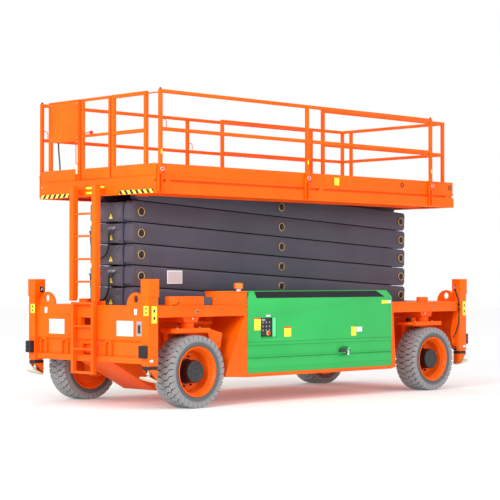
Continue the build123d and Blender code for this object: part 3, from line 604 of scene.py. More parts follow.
def lug_shape(row, size):
    """One curved lug from the middle of the tread over its shoulder, with a waved edge."""
    part = bmesh.new()
    rings = []
    steps = 12
    for step in range(steps + 3):
        t = min(step / steps, 1.0)
        # past the tread, the lug turns down over the shoulder in two more sections
        drop = max(0, step - steps)
        across = TYRE_MID + row * (0.002 + t * 0.174)
        lean = LUG_SWEEP * t ** 0.9 + LUG_WAVE * math.sin(t * 9.5)
        wide = size.lug_pitch_share * math.pi * size.lug_radius / size.lugs - 0.004 * drop
        top = size.lug_radius - max(0.0, t - 0.88) * 0.05 - (0.0, 0.018, 0.05)[drop]
        base = 0.44 - max(0.0, t - 0.86) * 0.12 - (0.0, 0.012, 0.02)[drop]
        # half an outline, from the lug's foot to its top: (radius, half width)
        rise = [(base, wide + 0.003), (top - 0.003, wide), (top, wide - 0.003)]
        ring = [(lean - half, radius) for radius, half in rise]
        ring += [(lean + half, radius) for radius, half in rise[::-1]]
        rings.append([part.verts.new((r * math.sin(s / r), across + row * 0.0006 * drop, r * math.cos(s / r)))
                      for s, r in ring])
    for first, second in zip(rings, rings[1:]):
        for n in range(6):
            part.faces.new((first[n], first[(n + 1) % 6], second[(n + 1) % 6], second[n]))
    part.faces.new(rings[0])
    part.faces.new(rings[-1][::-1])
    return part


class LIFT_OT_wheels(bpy.types.Operator):
    """Lugged tyres, dished rims and bolted hubs"""
    bl_idname = "lift.wheels"
    bl_label = "Wheels"

    def execute(self, context):
        size = context.scene.lift_wheels
        lugs = []
        for row, start in ((-1, 0.0), (1, math.pi / size.lugs)):
            unit = Kit("lug")
            unit.take(lug_shape(row, size), "tread")
            lugs.append(repeated(unit, Count=size.lugs, Start=start, Finish=FINISH["tread"]))
        bolt = Kit("bolt")
        bolt.turned(BOLT, "y", (0.0, BOLT_CIRCLE), "hub_iron", 6)
        bolts = repeated(bolt, Count=size.bolts, Start=0.2, Finish=FINISH["hub_iron"])
        stud = Kit("stud")
        stud.turned(STUD, "y", (0.0, STUD_CIRCLE), "steel", 6)
        studs = repeated(stud, Count=8, Start=0.1, Finish=FINISH["hub_face"])
        for tag, _, side in CORNERS:
            at = JOINT_AT[f"spin_{tag}"]
            axle = (at[0], at[2])
            place = Matrix.Translation((at[0], 0, at[2])) @ Matrix.Diagonal((1, side, 1, 1))
            tyre = Kit(f"tyre_detail_{tag}", f"wheel_{tag}", "tyre_rubber")
            # the crown's groove finish is painted shade between the lugs
            skins = [(CARCASS, "tyre_rubber"), (CROWN, "groove")]
            skins += [(outward(edge, 0, BAND), "shoulder") for edge in (-1, 1)]
            for outline, finish in skins:
                tyre.turned(outward(side, TYRE_MID, outline), "y", axle, finish, 96, True)
            for row in lugs:
                tyre.mesh(row, "tread", place)
            tyre.done(f"tyre_{tag}")
            wheel = Kit(f"rim_detail_{tag}", f"wheel_{tag}")
            wheel.turned(outward(side, 0, RIM), "y", axle, "orange_paint", 72, True)
            wheel.turned(outward(side, 0, HUB), "y", axle, "hub_iron", 56)
            wheel.turned(outward(side, 0, COVER), "y", axle, "hub_face", 56)
            wheel.mesh(bolts, "hub_iron", place)
            wheel.mesh(studs, "hub_face", place)
            wheel.done(f"rim_{tag}")
        return {"FINISHED"}


# the arms' slope
TILT = LEVEL_PITCH / (2 * PIN_X)
# parts of a pin's end: (out from the arm's face, radius)
PIN_RING = ((0.009, 0.0615), (0.014, 0.0615), (0.0165, 0.058), (0.0165, 0.052), (0.0135, 0.049),
            (0.009, 0.049))
PIN_HEAD = ((0.009, 0.0485), (0.013, 0.0485))
PIN_NUT = ((0.012, 0.03), (0.0155, 0.03), (0.0165, 0.026))
# level: how far past the end pin its cheek plate reaches, at the top and at the foot
CHEEK_REACH = {2: (0.17, 0.24), 3: (0.05, 0.17)}
SHORT_REACH = (-0.055, -0.055)


def cheek_plates(kit, side, pin_z, reach):
    """Plate on an outer arm's end, slanted where it reaches past the pin, and a second one at its tip."""
    left = -PIN_X - ARM_TAIL
    top, foot = pin_z + 0.132, pin_z - 0.126
    tip = [(left + 0.03, foot), (left, pin_z - 0.1), (left, pin_z + 0.106), (left + 0.03, top)]
    slant = [(-PIN_X + reach[0], top - (reach[0] + 0.17) * TILT),
             (-PIN_X + reach[1], foot - (reach[1] + 0.17) * TILT)]
    wide = 0.075
    square = [(left + wide, top - wide * TILT), (left + wide, foot - wide * TILT)]
    kit.prism(tip + slant, "y", side * ARM_FACE, side * (ARM_FACE + 0.005), "stack_plate", 0.003)
    kit.prism(tip + square, "y", side * (ARM_FACE + 0.005), side * (ARM_FACE + 0.008), "stack_plate", 0.0015)


def outer_trim(level):
    """Pin rings, nuts and end plates of an outer pair of arms."""
    mid = LOW_PIN_Z + (level - 0.5) * LEVEL_PITCH
    high = mid + LEVEL_PITCH / 2
    kit = Kit(f"outer_trim_{level}", f"outer_{level}", "stack_paint")
    pins = [(0, mid)]
    if level < LEVELS:
        pins.append((-PIN_X, high))
    if level > 1:
        pins.append((PIN_X, mid - LEVEL_PITCH / 2))
    for side in (-1, 1):
        for pin in pins:
            kit.turned(outward(side, ARM_FACE, PIN_RING), "y", pin, "brass", 40, True)
            kit.turned(outward(side, ARM_FACE, PIN_HEAD), "y", pin, "dark_steel", 32)
            kit.turned(outward(side, ARM_FACE, PIN_NUT), "y", pin, "dark_steel", 6)
        if level < LEVELS:
            cheek_plates(kit, side, high, CHEEK_REACH.get(level, SHORT_REACH))
    if level == 2:
        near = -ARM_FACE
        kit.box((-2.21, -1.935), (near, near - 0.003), (1.628, 1.808), "white_label", 0.001)
        kit.box((-2.198, -1.947), (near - 0.003, near - 0.0035), (1.64, 1.796), "data_plate", 0)
    kit.done()


def inner_trim(level):
    """Bolted end plate of an inner pair of arms, with its warning mark and the hoses' fittings."""
    low = LOW_PIN_Z + (level - 1) * LEVEL_PITCH
    kit = Kit(f"inner_trim_{level}", f"inner_{level}", "stack_paint")
    x = -PIN_X - ARM_TAIL
    face = x - 0.006
    kit.box((x, face), (-0.215, 0.215), (low - 0.122, low + 0.122), "stack_plate", 0.004)
    for y in (-0.2, 0.2):
        for z in (low - 0.1, low + 0.1):
            kit.disc("x", (y, z), 0.009, face, x - 0.013, "dark_steel", 6)
    mark = [(-0.05, low - 0.09), (0.03, low - 0.09), (-0.01, low - 0.02)]
    kit.prism(mark, "x", face, x - 0.0085, "yellow_label", 0)
    kit.box((x - 0.0085, x - 0.009), (-0.014, -0.006), (low - 0.07, low - 0.045), "dark_steel", 0)
    if level in HOSE_LEVELS:
        for y in (-0.095, -0.05, -0.005):
            kit.disc("x", (y, low + 0.075), 0.015, x, x - 0.022, "data_plate", 6)
            kit.bar([(x - 0.018, y, low + 0.075), (x - 0.034, y, low + 0.074),
                     (x - 0.05, y - 0.012, low + 0.05)],
                    0.011, "steel")
    kit.done()


class LIFT_OT_stack(bpy.types.Operator):
    """Pin rings, end plates, labels and fittings on the arms"""
    bl_idname = "lift.stack"
    bl_label = "Scissor stack"

    def execute(self, context):
        for level in range(1, LEVELS + 1):
            outer_trim(level)
            inner_trim(level)
        return {"FINISHED"}


def side_box_trim():
    """Decal band, labels, seams and the switches of the ground controls."""
    low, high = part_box("side_box_near")
    face = COVER_FACE
    panel = PANEL_FACE
    kit = Kit("side_box_trim", "chassis", "black_plastic")
    for side in (-1, 1):
        # band along the sloping top of the cover
        part = bmesh.new()
        foot_z, top_z = 1.432, high[2] - 0.006
        foot_y, top_y = side * abs(face) + side * 0.001, side * (abs(face) - 0.049)
        left, right = low[0] + 0.16, high[0] - 0.3
        corners = [(left, foot_y, foot_z), (right + 0.14, foot_y, foot_z), (right, top_y, top_z),
                   (left, top_y, top_z)]
        part.faces.new([part.verts.new(c) for c in corners])
        bmesh.ops.solidify(part, geom=part.faces[:], thickness=0.0015)
        kit.take(part, "black_band")
    # (x from, x to, z from, z to, finish)
    labels = ((-1.376, -1.25, 0.996, 1.164, "yellow_label"), (-0.791, -0.655, 0.895, 1.015, "yellow_label"),
              (0.589, 0.695, 0.875, 1.005, "yellow_label"), (0.706, 0.824, 0.932, 1.0, "white_label"),
              (-1.145, -1.066, 1.178, 1.201, "white_label"), (1.26, 1.40, 1.33, 1.378, "yellow_label"),
              (1.41, 1.468, 1.335, 1.38, "white_label"))
    for x0, x1, z0, z1, finish in labels:
        kit.box((x0, x1), (face, face - 0.0015), (z0, z1), finish, 0.0005)
    kit.box((-0.791, -0.655), (face, face - 0.0017), (1.015, 1.035), "red_cap", 0.0005)
    kit.box((-1.376, -1.25), (face, face - 0.0017), (1.148, 1.164), "red_cap", 0.0005)
    # folded ledge along the foot, then the seam between the doors and the rim of the controls' recess, both
    # in green with painted shade
    for z0, z1, proud, finish in ((0.628, 0.642, 0.006, "green_paint"), (0.833, 0.838, 0.0012, "shade_green"),
                                  (0.621, 0.626, 0.0012, "shade_green")):
        kit.box((-1.484, 1.484), (face, face - proud), (z0, z1), finish, 0.002)
    for x0, x1, z0, z1 in ((-1.258, -0.95, 1.166, 1.173), (-1.258, -0.95, 0.893, 0.9),
                           (-0.957, -0.95, 0.9, 1.166)):
        kit.box((x0, x1), (face, face - 0.005), (z0, z1), "green_paint", 0.002)
    # painted highlight: a lighter green strip along the right side of the controls' recess
    kit.box((-1.024, -0.96), (face, face - 0.0012), (0.903, 1.163), "light_green", 0.0004)
    # ground controls on the sunk panel: rows of switches, two plates and the stop button's yellow disc
    for row, z in enumerate((1.1, 1.045, 0.99)):
        for x in (-1.2, -1.135, -1.075):
            kit.disc("y", (x, z), 0.012, panel, panel - 0.004, "steel", 16)
            kit.bar([(x, panel, z), (x, panel - 0.012, z + 0.004 - 0.004 * row)], 0.0045, "black_plastic")
    kit.box((-1.225, -1.16), (panel, panel - 0.003), (1.122, 1.147), "silver_plate", 0.001)
    kit.box((-1.225, -1.16), (panel, panel - 0.003), (0.925, 0.975), "black_band", 0.001)
    kit.disc("y", (-1.1, 0.952), 0.032, panel, panel - 0.002, "yellow_label", 28)
    kit.done()


def ground_stop_button():
    """Panel of the ground controls with its stop button."""
    panel = PANEL_FACE
    knob = Kit("ground_stop_button", "chassis", SLOT_OF["ground_control_panel"])
    low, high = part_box("ground_control_panel")
    knob.box((low[0], high[0]), (panel, high[1]), (low[2], high[2]), "black_plastic", 0.004)
    knob.turned([(panel, 0.016), (panel - 0.012, 0.016), (panel - 0.013, 0.023), (panel - 0.02, 0.024),
                 (panel - 0.0235, 0.02)], "y", (-1.1, 0.952), "red_cap", 32)
    knob.done("ground_control_panel")


def filler_fittings():
    """Oval filler well with its cap and labels."""
    filler = Kit("filler_fittings", "chassis", SLOT_OF["filler_cap"])
    low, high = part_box("filler_cap")
    face = low[1]
    x, z = (low[0] + high[0]) / 2, (low[2] + high[2]) / 2
    turns = [math.pi * n / 20 for n in range(40)]
    rim = [(x + 0.142 * math.cos(turn), z + 0.076 * math.sin(turn)) for turn in turns]
    well = [(x + (a - x) * 0.93, z + (b - z) * 0.88) for a, b in rim]
    filler.prism(rim, "y", face + 0.003, high[1], "green_paint", 0.001)
    # painted shade: the well's floor is the darker green
    filler.prism(well, "y", face + 0.0015, face + 0.004, "shade_green", 0)
    # fittings in the well: (x from, x to, z from, z to, y from, y to, finish, edge)
    # the first fitting, in the lighter green, is a painted highlight on the well's rim
    for x0, x1, z0, z1, back, front, finish, edge in (
            (0.07, 0.125, 0.022, 0.04, 0.001, 0.003, "light_green", 0.002),
            (0.06, 0.1, -0.06, -0.03, 0.001, 0.006, "white_label", 0.003),
            (-0.115, 0.03, -0.02, 0.028, 0.002, 0.004, "black_band", 0.004)):
        filler.box((x + x0, x + x1), (face + back, face - front), (z + z0, z + z1), finish, edge)
    filler.disc("y", (x + 0.055, z - 0.035), 0.02, face + 0.002, face - 0.004, "dark_steel", 24)
    filler.disc("y", (x + 0.085, z - 0.008), 0.022, face + 0.002, face - 0.005, "steel", 24)
    filler.done("filler_cap")


class LIFT_OT_side_boxes(bpy.types.Operator):
    """Decal band, ground controls, labels and fillers on the green covers"""
    bl_idname = "lift.side_boxes"
    bl_label = "Side boxes"

    def execute(self, context):
        side_box_trim()
        ground_stop_button()
        filler_fittings()
        return {"FINISHED"}


# rubber ring in the deck's side: (out from the face, radius)
GROMMET = [(0.01, 0.037), (0.0, 0.037), (-0.003, 0.034), (-0.003, 0.026), (0.006, 0.024)]


def platform_trim():
    """Hazard tape and labels on the deck, and the pins, hoops, hooks and caps of the rails."""
    x_end, y_near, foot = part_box("platform_deck")[0]
    kit = Kit("platform_trim", "platform")
    tape_foot = foot + 0.006
    for y0, y1, tape in ((0.562, 1.207, "hazard"), (-1.167, -0.489, "hazard_near")):
        kit.box((x_end, x_end - 0.0015), (y0, y1), (tape_foot, tape_foot + 0.052), tape, 0)
    for y0, y1, z0, z1 in ((0.078, 0.21, 2.832, 2.862), (0.078, 0.21, 2.898, 2.928),
                           (-0.175, -0.058, 2.832, 2.928)):
        kit.box((x_end, x_end - 0.0015), (y0, y1), (z0, z1), "yellow_label", 0.0005)
    kit.box((0.277, 0.379), (y_near + 0.004, y_near + 0.002), (3.035, 3.143), "yellow_label", 0.0005)
    for x in (1.777, 2.917):
        kit.turned(outward(1, y_near, GROMMET), "y", (x, 3.098), "black_rubber", 28)
    low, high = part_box("side_rail_near")
    half_post = 0.023
    posts = (low[0] + half_post, -0.32, high[0] - half_post)
    for side in (-1, 1):
        y = side * abs(low[1] + half_post)
        out = side * half_post
        for x in posts:
            # lock pin through the pocket with its ring, and the wire eye beside the middle rail
            kit.bar([(x, y - side * 0.02, 3.088), (x, y + side * 0.045, 3.088)], 0.009, "steel")
            kit.bar([(x - 0.02, y + side * 0.04, 3.09), (x - 0.035, y + side * 0.042, 3.115),
                     (x, y + side * 0.042, 3.135), (x + 0.035, y + side * 0.042, 3.115),
                     (x + 0.02, y + side * 0.04, 3.09)], 0.004, "steel")
            kit.box((x + 0.012, x + 0.04), (y + side * 0.04, y + side * 0.044), (3.045, 3.08), "red_cap",
                    0.001)
            kit.box((x - 0.012, x + 0.012), (y + out, y + out + side * 0.0015), (3.3, 3.36), "yellow_label",
                    0.0004)
        for x in posts[:-1]:
            kit.bar([(x + 0.02, y, 3.755), (x + 0.075, y, 3.755), (x + 0.1, y, 3.73), (x + 0.1, y, 3.64)],
                    0.006, "orange_paint")
        for x in (posts[0], posts[-1]):
            kit.turned([(4.13, 0.015), (4.15, 0.015), (4.156, 0.011)], "z", (x, y), "black_rubber", 20)
    kit.bar([(-3.03, -0.955, 3.2), (-3.075, -0.955, 3.2)], 0.006, "steel")
    kit.done()


def toe_board_lips():
    """Folded foot of the end toe boards."""
    lips = Kit("toe_board_lips", "platform")
    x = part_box("toe_boards")[0][0]
    for y0, y1 in ((0.47, 1.12), (-1.15, -0.3)):
        lips.box((x, x - 0.006), (y0, y1), (3.03, 3.038), "orange_paint", 0.002)
    lips.done()


def entry_trim():
    """Folded border and bolts of the controls' plate, and the bar below it."""
    entry = Kit("entry_trim", "platform")
    x = RAIL_FACE
    # (y from, y to, z from, z to) of the folded border round the controls' plate
    for y0, y1, z0, z1 in ((0.415, 1.049, 4.117, 4.133), (0.415, 1.049, 3.57, 3.59),
                           (0.415, 0.431, 3.59, 4.117), (1.033, 1.049, 3.59, 4.117)):
        entry.box((x, x - 0.005), (y0, y1), (z0, z1), "orange_paint", 0.002)
    for y in (0.45, 1.014):
        for z in (3.615, 4.09):
            entry.disc("x", (y, z), 0.008, x, x - 0.004, "steel", 6)
    entry.bar([(x - 0.006, 0.465, 3.6), (x - 0.006, 0.465, 3.268), (x + 0.01, 0.41, 3.232)], 0.0065,
              "orange_paint")
    entry.done()


def gate_latch():
    """Latch bar of the gate with its knob."""
    x = RAIL_FACE - 0.012
    gate = Kit("gate_latch", BODY_OF["gate"])
    gate.bar([(RAIL_FACE + 0.01, 0.36, 3.665), (x, 0.34, 3.665), (x, 0.14, 3.665)], 0.008, "orange_paint")
    gate.turned([(0.15, 0.008), (0.148, 0.02), (0.13, 0.026), (0.112, 0.022), (0.105, 0.01)], "y",
                (x, 3.665), "red_cap", 24)
    gate.done()


def platform_controls():
    """Control box of the platform with its sticks and buttons."""
    controls = Kit("platform_controls", "platform", SLOT_OF["platform_control_box"])
    low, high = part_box("platform_control_box")
    controls.box((low[0], high[0]), (low[1], high[1]), (low[2], high[2]), "grey_box", 0.012)
    top = high[2]
    # the two sticks
    for x, y in ((-2.93, 0.7), (-2.93, 0.93)):
        controls.turned([(top, 0.022), (top + 0.008, 0.018), (top + 0.03, 0.007)], "z", (x, y),
                        "black_rubber", 24)
        controls.turned([(top + 0.025, 0.006), (top + 0.05, 0.012), (top + 0.062, 0.008)], "z", (x, y),
                        "black_plastic", 20)
    for y in (0.77, 0.815, 0.86):
        controls.disc("z", (-2.95, y), 0.011, top, top + 0.008, "steel", 20)
    controls.disc("z", (-2.9, 0.815), 0.02, top, top + 0.022, "red_cap", 28, 0.005)
    controls.disc("z", (-2.96, 1.0), 0.018, low[2], low[2] - 0.014, "black_rubber", 24)
    controls.done("platform_control_box")


class LIFT_OT_platform(bpy.types.Operator):
    """Labels, hazard tape, pocket pins, hooks and grommets on the platform"""
    bl_idname = "lift.platform"
    bl_label = "Platform"

    def execute(self, context):
        platform_trim()
        toe_board_lips()
        entry_trim()
        gate_latch()
        platform_controls()
        return {"FINISHED"}


def label(kit, axis, at, across, up, out):
    """Yellow label with two dark pictogram spots, on a face that looks along an axis."""
    middle = (across[0] + across[1]) / 2
    wide = abs(across[1] - across[0]) / 6
    tall = up[1] - up[0]
    spans = [(across, up, "yellow_label", 0.0015)]
    for share in (0.72, 0.3):
        z = up[0] + tall * share
        spans.append(((middle - wide, middle + wide), (z - tall * 0.09, z + tall * 0.09), "black_band",
                      0.002))
    for run, height, finish, thick in spans:
        depth = (at, at + out * thick)
        if axis == "x":
            kit.box(depth, run, height, finish, 0.0004)
        else:
            kit.box(run, depth, height, finish, 0.0004)


def beam_plates(kit, end):
    """Plates and labels on an end beam."""
    x = end * BEAM_FACE
    for y0, y1 in ((0.534, 0.866), (-0.904, -0.574)):
        kit.box((x, x + end * 0.004), (y0, y1), (0.95, 1.148), "white_label", 0.001)
        for y in (y0 + 0.05, y1 - 0.05):
            kit.disc("x", (y, 0.985), 0.007, x, x + end * 0.0055, "steel", 12)
    kit.box((x, x + end * 0.003), (-1.07, -0.973), (0.958, 1.146), "silver_plate", 0.001)
    kit.box((x, x + end * 0.0035), (-1.05, -0.993), (0.99, 1.1), "black_band", 0.001)
    for y in (0.933, -0.957):
        kit.box((end * 3.2, end * 3.229), (y - 0.022, y + 0.022), (1.228, 1.305), "white_label", 0.001)
    for y0, y1 in ((1.132, 1.224), (-1.261, -1.166)):
        label(kit, "x", end * TUBE_FACE, (y0, y1), (1.222, 1.348), end)


def tube_fittings(kit, end, side):
    """Labels on an outrigger tube, and the slots with the hose ends that come out of them."""
    y = side * TUBE_SIDE
    along = (3.18, 3.258) if end > 0 else (-3.126, -3.216)
    label(kit, "y", y, along, (1.125, 1.345), side)
    kit.box((end * 3.19, end * 3.245), (y, y + side * 0.0015), (0.63, 0.66), "white_label", 0.0005)
    inner = end * 3.098
    # painted shade: the slot's opening is a thin dark sheet
    kit.box((inner, inner - end * 0.0015), (side * 1.165, side * 1.2), (1.505, 1.6), "dark_steel", 0.0005)
    kit.bar([(inner - end * 0.004, side * 1.178, 1.59), (inner - end * 0.008, side * 1.186, 1.54)], 0.008,
            "steel")
    inner = side * 1.119
    # painted shade: the slot's opening is a thin dark sheet
    kit.box((end * 3.13, end * 3.19), (inner, inner - side * 0.0015), (1.51, 1.585), "dark_steel", 0.0005)
    kit.bar([(end * 3.148, inner - side * 0.004, 1.57), (end * 3.17, inner - side * 0.006, 1.53)], 0.008,
            "steel")
    kit.box((end * 3.106, end * 3.094), (side * 1.15, side * 1.2), (0.585, 0.64), "dark_steel", 0.003)
    kit.disc("x", (side * 1.175, 0.62), 0.01, end * 3.094, end * 3.089, "steel", 6)


def kingpin_housing(kit, end, side):
    """Cap over a kingpin, and the bolt and white dot on the beam beside it."""
    x, y = end * KINGPIN_X, side * 1.258
    kit.disc("y", (x, 1.264), 0.02, y, y + side * 0.003, "steel", 20)
    kit.disc("y", (x, 1.264), 0.013, y, y + side * 0.012, "dark_steel", 6)
    kit.turned([(1.335, 0.089), (1.385, 0.089), (1.388, 0.087), (1.413, 0.087), (1.417, 0.082),
                (1.417, 0.03)], "z",
               (x, side * KINGPIN_Y), "orange_paint", 48)
    kit.disc("y", (end * 2.4, 1.17), 0.013, side * 1.14, side * 1.155, "white_label", 20)


def end_frame_trim():
    """Everything small that stands on the end frames, as one piece."""
    kit = Kit("end_frame_trim", "chassis")
    for end in (-1, 1):
        beam_plates(kit, end)
        for side in (-1, 1):
            tube_fittings(kit, end, side)
        # folded lip along the beam, proud of its face
        x = end * BEAM_FACE
        for y0, y1 in ((-1.06, -0.28), (0.42, 1.06)):
            kit.box((x, x + end * 0.0045), (y0, y1), (1.205, 1.213), "orange_paint", 0.002)
    for _, end, side in CORNERS:
        kingpin_housing(kit, end, side)
    # tie-down loops stand on the ledge of each end beam
    for end in (-1, 1):
        for y in (1.0, 0.53, -0.39):
            x = end * 3.212
            kit.bar([(x, y - 0.062, 0.7), (x, y - 0.062, 0.845), (x, y - 0.03, 0.879), (x, y + 0.03, 0.879),
                     (x, y + 0.062, 0.845), (x, y + 0.062, 0.7)], 0.015, "orange_paint", 14)
    # plate behind the ladder's head
    kit.box((-3.15, -3.142), (-0.25, 0.05), (1.335, 1.4), "orange_paint", 0.002)
    kit.done()


def kingpin_collar(tag, end, side):
    """Flange, collar and bolts on a knuckle's top plate."""
    x = end * KINGPIN_X
    collar = Kit(f"kingpin_collar_{tag}", BODY_OF[f"steering_knuckle_{tag}"])
    collar.turned([(1.044, 0.1), (1.054, 0.1), (1.058, 0.088), (1.112, 0.088), (1.114, 0.084)], "z",
                  (x, side * KINGPIN_Y), "orange_paint", 40)
    for step in (-0.2, 0.2):
        collar.disc("z", (x + step, side * 1.1), 0.014, 1.045, 1.057, "steel", 6)
    if end > 0:
        # stop block and angle sensor on the top plate and its short tongue
        collar.box((2.01, 2.15), (side * 0.93, side * 1.15), (1.0, 1.034), "orange_paint", 0.003)
        collar.box((2.215, 2.3), (side * 0.98, side * 1.04), (1.045, 1.104), "orange_paint", 0.005)
        collar.box((2.145, 2.21), (side * 0.98, side * 1.05), (1.045, 1.1), "black_plastic", 0.008)
    collar.done()


def bumper_pads():
    """Ribbed rubber pads at the four corners."""
    bumpers = Kit("bumper_pads", "chassis", SLOT_OF["bumpers"])
    for _, end, side in CORNERS:
        bumpers.box((end * TUBE_FACE, end * 3.334), (side * 1.142, side * 1.25), (0.68, 0.842),
                    "black_rubber",
                    0.006)
        for row in range(3):
            for column in range(2):
                y = side * (1.165 + 0.062 * column)
                z = 0.712 + 0.049 * row
                bumpers.box((end * 3.33, end * 3.341), (y - 0.02, y + 0.02), (z - 0.015, z + 0.015),
                            "black_rubber", 0.004)
    bumpers.done("bumpers")


def beam_cover():
    """Valve cover on the left beam, with its darker half, a seam and a cord."""
    cover = Kit("beam_boxes", "chassis", SLOT_OF["beam_box"])
    low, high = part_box("beam_box")
    split, back = -2.29, -1.162
    cover.box((low[0], split), (back, low[1]), (low[2], high[2]), "orange_paint", 0.006)
    cover.box((split, high[0]), (back, -1.24), (low[2], high[2] - 0.011), "stack_paint", 0.006)
    cover.box((-2.735, -2.728), (low[1] + 0.001, low[1] - 0.0015), (low[2] + 0.01, high[2] - 0.02),
              "dark_steel",
              0.0005)
    cover.bar([(-2.86, low[1] - 0.002, low[2] + 0.006), (-2.78, low[1] - 0.004, low[2] + 0.012),
               (-2.735, low[1] - 0.004, low[2] + 0.05)], 0.004, "dark_steel")
    cover.done("beam_box")


def beacon_lamp():
    """Ribbed beacon lens on its collar."""
    beacon = Kit("beacon_lamp", "chassis", SLOT_OF["beacon"])
    low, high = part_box("beacon")
    foot, top = low[2], high[2]
    # the lamp stands on the outer part of its bracket
    place = ((low[0] + high[0]) / 2 + 0.085, (low[1] + high[1]) / 2)
    beacon.turned([(foot, 0.036), (foot + 0.03, 0.034), (foot + 0.031, 0.05), (foot + 0.034, 0.055)], "z",
                  place,
                  "steel", 40)
    lens = [(foot + 0.034, 0.055), (foot + 0.038, 0.06)]
    for rib in range(6):
        z = foot + 0.042 + rib * 0.0105
        lens += [(z, 0.0605), (z + 0.005, 0.062), (z + 0.009, 0.0605)]
    lens += [(top - 0.006, 0.058), (top - 0.001, 0.048), (top, 0.03)]
    beacon.turned(lens, "z", place, "amber_lens", 56)
    beacon.done("beacon")


class LIFT_OT_chassis(bpy.types.Operator):
    """Plates, labels, collars, covers and the beacon on the chassis"""
    bl_idname = "lift.chassis"
    bl_label = "Chassis"

    def execute(self, context):
        end_frame_trim()
        for corner in CORNERS:
            kingpin_collar(*corner)
        bumper_pads()
        beam_cover()
        beacon_lamp()
        return {"FINISHED"}


# the cast foot pad: (up from its ball joint, radius)
PAD = [(-0.024, 0.112), (-0.022, 0.118), (-0.014, 0.119), (-0.008, 0.114), (0.0, 0.07), (0.006, 0.052),
       (0.014, 0.046), (0.014, 0.03)]
PAD_TILT = 18


def outrigger_leg(node, end, side, pad):
    """Inner tube with its wiper band, guard, stem and tilted foot pad."""
    leg = Kit(node.replace("leg", "detail"), BODY_OF[node])
    x, y = end * LEG_X, side * LEG_Y
    leg.box((x - 0.066, x + 0.066), (y - 0.053, y + 0.053), (0.545, 1.6), "orange_paint", 0.005)
    leg.box((x - 0.078, x + 0.078), (y - 0.065, y + 0.065), (0.53, 0.572), "black_rubber", 0.005)
    outer, inner = x + end * 0.076, x - end * 0.076
    guard = [(outer, 0.532), (inner, 0.532), (inner, 0.395), (x - end * 0.06, 0.38)]
    for a, b in ((-0.062, -0.054), (0.054, 0.062)):
        leg.prism(guard, "y", y + a, y + b, "orange_paint")
    rim = [guard[3], guard[0], (outer - end * 0.008, 0.532), (guard[3][0] - end * 0.004, 0.392)]
    for a, b in ((-0.0635, -0.062), (0.062, 0.0635)):
        leg.prism(rim, "y", y + a, y + b, "dark_steel", 0)
    leg.box((inner, x - end * 0.068), (y - 0.054, y + 0.054), (0.39, 0.535), "orange_paint", 0.002)
    foot = (x + end * 0.02, y)
    leg.turned([(0.41, 0.02), (0.42, 0.026), (0.435, 0.024), (0.45, 0.017), (0.54, 0.017)], "z", foot,
               "pad_paint", 28)
    leg.turned([(0.462, 0.027), (0.475, 0.032), (0.488, 0.027)], "z", foot, "steel", 28)
    tip = Matrix.Translation((*foot, 0.42)) @ Matrix.Rotation(math.radians(-PAD_TILT * end), 4, "Y")
    leg.mesh(pad, "pad_paint", tip, True)
    leg.done(node)


def outrigger_hose():
    """Hose that hangs beside the right near tube, with its two clips."""
    line = Kit("outrigger_hose_right", "chassis", "black_rubber")
    line.bar([(3.083, -1.19, 1.53), (3.08, -1.225, 1.44), (3.078, -1.272, 1.36), (3.08, -1.275, 1.16),
              (3.076, -1.262, 1.0), (3.05, -1.225, 0.84), (3.02, -1.2, 0.78)], 0.0105, "black_rubber", 16)
    for x, z in ((3.078, 1.3), (3.08, 1.22)):
        line.box((x - 0.02, x + 0.02), (-1.258, -1.288), (z - 0.01, z + 0.01), "black_rubber", 0.003)
    line.done()


class LIFT_OT_outriggers(bpy.types.Operator):
    """Outrigger legs with their wiper bands, guards and cast foot pads, and the hose beside a tube"""
    bl_idname = "lift.outriggers"
    bl_label = "Outriggers"

    def execute(self, context):
        kit = Kit("pad")
        kit.turned(PAD, "z", (0.0, 0.0), "pad_paint", 48)
        pad = kit.as_mesh()
        for tag, end, side in CORNERS:
            outrigger_leg(f"outrigger_leg_{tag}", end, side, pad)
        outrigger_hose()
        return {"FINISHED"}


class LIFT_OT_stage(bpy.types.Operator):
    """Pale floor, soft studio light and the camera"""
    bl_idname = "lift.stage"
    bl_label = "Studio stage"

    def execute(self, context):
        scene = context.scene
        scene.view_settings.view_transform = "Standard"
        mesh = bpy.data.meshes.new("studio_floor")
        half = 60.0
        mesh.from_pydata([(-half, -half, 0), (half, -half, 0), (half, half, 0), (-half, half, 0)], [],
                         [(0, 1, 2, 3)])
        floor = placed("studio_floor", mesh)
        material, tree = new_material("white studio floor")
        shader = add(tree, "ShaderNodeBsdfPrincipled", {
            "Base Color": linear("ECECEC"), "Roughness": 0.95, "Specular IOR Level": 0.0,
            "Emission Color": linear("FFFFFF"), "Emission Strength": 0.13})
        add(tree, "ShaderNodeOutputMaterial", {"Surface": shader.outputs["BSDF"]})
        mesh.materials.append(material)
        world = bpy.data.worlds.new("studio")
        scene.world = world
        world.use_nodes = True
        background = world.node_tree.nodes["Background"]
        background.inputs["Color"].default_value = linear("FFFFFF")
        background.inputs["Strength"].default_value = 1.0
        # (name, place, size, power) of the two soft lamps, which look at the lift's lower half
        for name, place, size, power in (("key", (-17, -6, 8), 7, 1900), ("fill", (2, -16, 7), 8, 500)):
            light = bpy.data.lights.new(name, "AREA")
            light.size = size
            light.energy = power
            lamp = placed(name, light)
            lamp.location = place
            lamp.rotation_euler = (Vector((0, 0, 1.5)) - Vector(place)).to_track_quat("-Z", "Y").to_euler()
        camera = placed("camera", bpy.data.cameras.new("camera"))
        size = scene.lift_stage
        camera.location = size.camera_place
        camera.data.lens = size.lens
        camera.data.clip_end = 200
        camera.rotation_euler = Euler((math.radians(90 + size.tilt), 0, math.radians(-size.heading)))
        scene.camera = camera
        return {"FINISHED"}


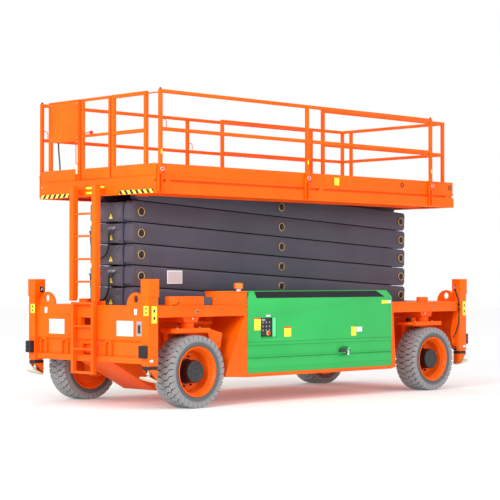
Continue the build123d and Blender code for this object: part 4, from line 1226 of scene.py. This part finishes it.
class LiftColourSettings(bpy.types.PropertyGroup):
    chassis: FloatVectorProperty(name="Chassis and rails", description="Enamel of the frame and the rails",
                                 size=4,
                                 default=linear("FF6604"), min=0, max=1, subtype="COLOR")
    covers: FloatVectorProperty(name="Covers", description="Enamel of the side covers", size=4,
                                default=linear("39B75E"), min=0, max=1, subtype="COLOR")
    stack: FloatVectorProperty(name="Stack", description="Enamel of the scissor arms", size=4,
                               default=linear("55525F"), min=0, max=1, subtype="COLOR")


class LiftStageSettings(bpy.types.PropertyGroup):
    camera_place: FloatVectorProperty(name="Camera place", description="Where the camera stands",
                                      default=(-16.566, -16.638, 1.693), subtype="XYZ", unit="LENGTH")
    lens: FloatProperty(name="Lens", description="Focal length on a 36 mm sensor", default=114.75,
                        unit="CAMERA")
    tilt: FloatProperty(name="Tilt", description="Degrees the camera looks up", default=1.04)
    heading: FloatProperty(name="Heading", description="Degrees from +Y toward +X", default=44.5)


class LiftWheelSettings(bpy.types.PropertyGroup):
    lugs: IntProperty(name="Lugs", description="Lugs in each row of the tread", default=34, min=6)
    lug_radius: FloatProperty(name="Lug radius", description="Radius over the lugs", default=0.4775,
                              unit="LENGTH")
    lug_pitch_share: FloatProperty(name="Lug share", description="Share of the tread that the lugs fill",
                                   default=0.78,
                                   min=0.3, max=0.95)
    bolts: IntProperty(name="Bolts", description="Bolts round each hub", default=10, min=3)


class LIFT_PT_panel(bpy.types.Panel):
    """Operators that finish the lift"""
    bl_idname = "LIFT_PT_panel"
    bl_label = "Scissor Lift"
    bl_space_type = "VIEW_3D"
    bl_region_type = "UI"
    bl_category = "Scissor Lift"

    def draw(self, context):
        for step in STEPS:
            self.layout.operator(step.bl_idname)


STEPS = (LIFT_OT_finishes, LIFT_OT_stage, LIFT_OT_hoses, LIFT_OT_carried_finish, LIFT_OT_wheels,
         LIFT_OT_stack,
         LIFT_OT_side_boxes, LIFT_OT_platform, LIFT_OT_chassis, LIFT_OT_outriggers)
SETTINGS = {"lift_colours": LiftColourSettings, "lift_stage": LiftStageSettings,
            "lift_wheels": LiftWheelSettings}
CLASSES = (*SETTINGS.values(), *STEPS, LIFT_PT_panel)


def register():
    for item in CLASSES:
        bpy.utils.register_class(item)
    for name, group in SETTINGS.items():
        setattr(bpy.types.Scene, name, PointerProperty(type=group))


def unregister():
    for name in SETTINGS:
        delattr(bpy.types.Scene, name)
    for item in reversed(CLASSES):
        bpy.utils.unregister_class(item)


def main():
    register()
    for step in STEPS:
        getattr(bpy.ops.lift, step.bl_idname.removeprefix("lift."))()


if __name__ == "__main__":
    main()
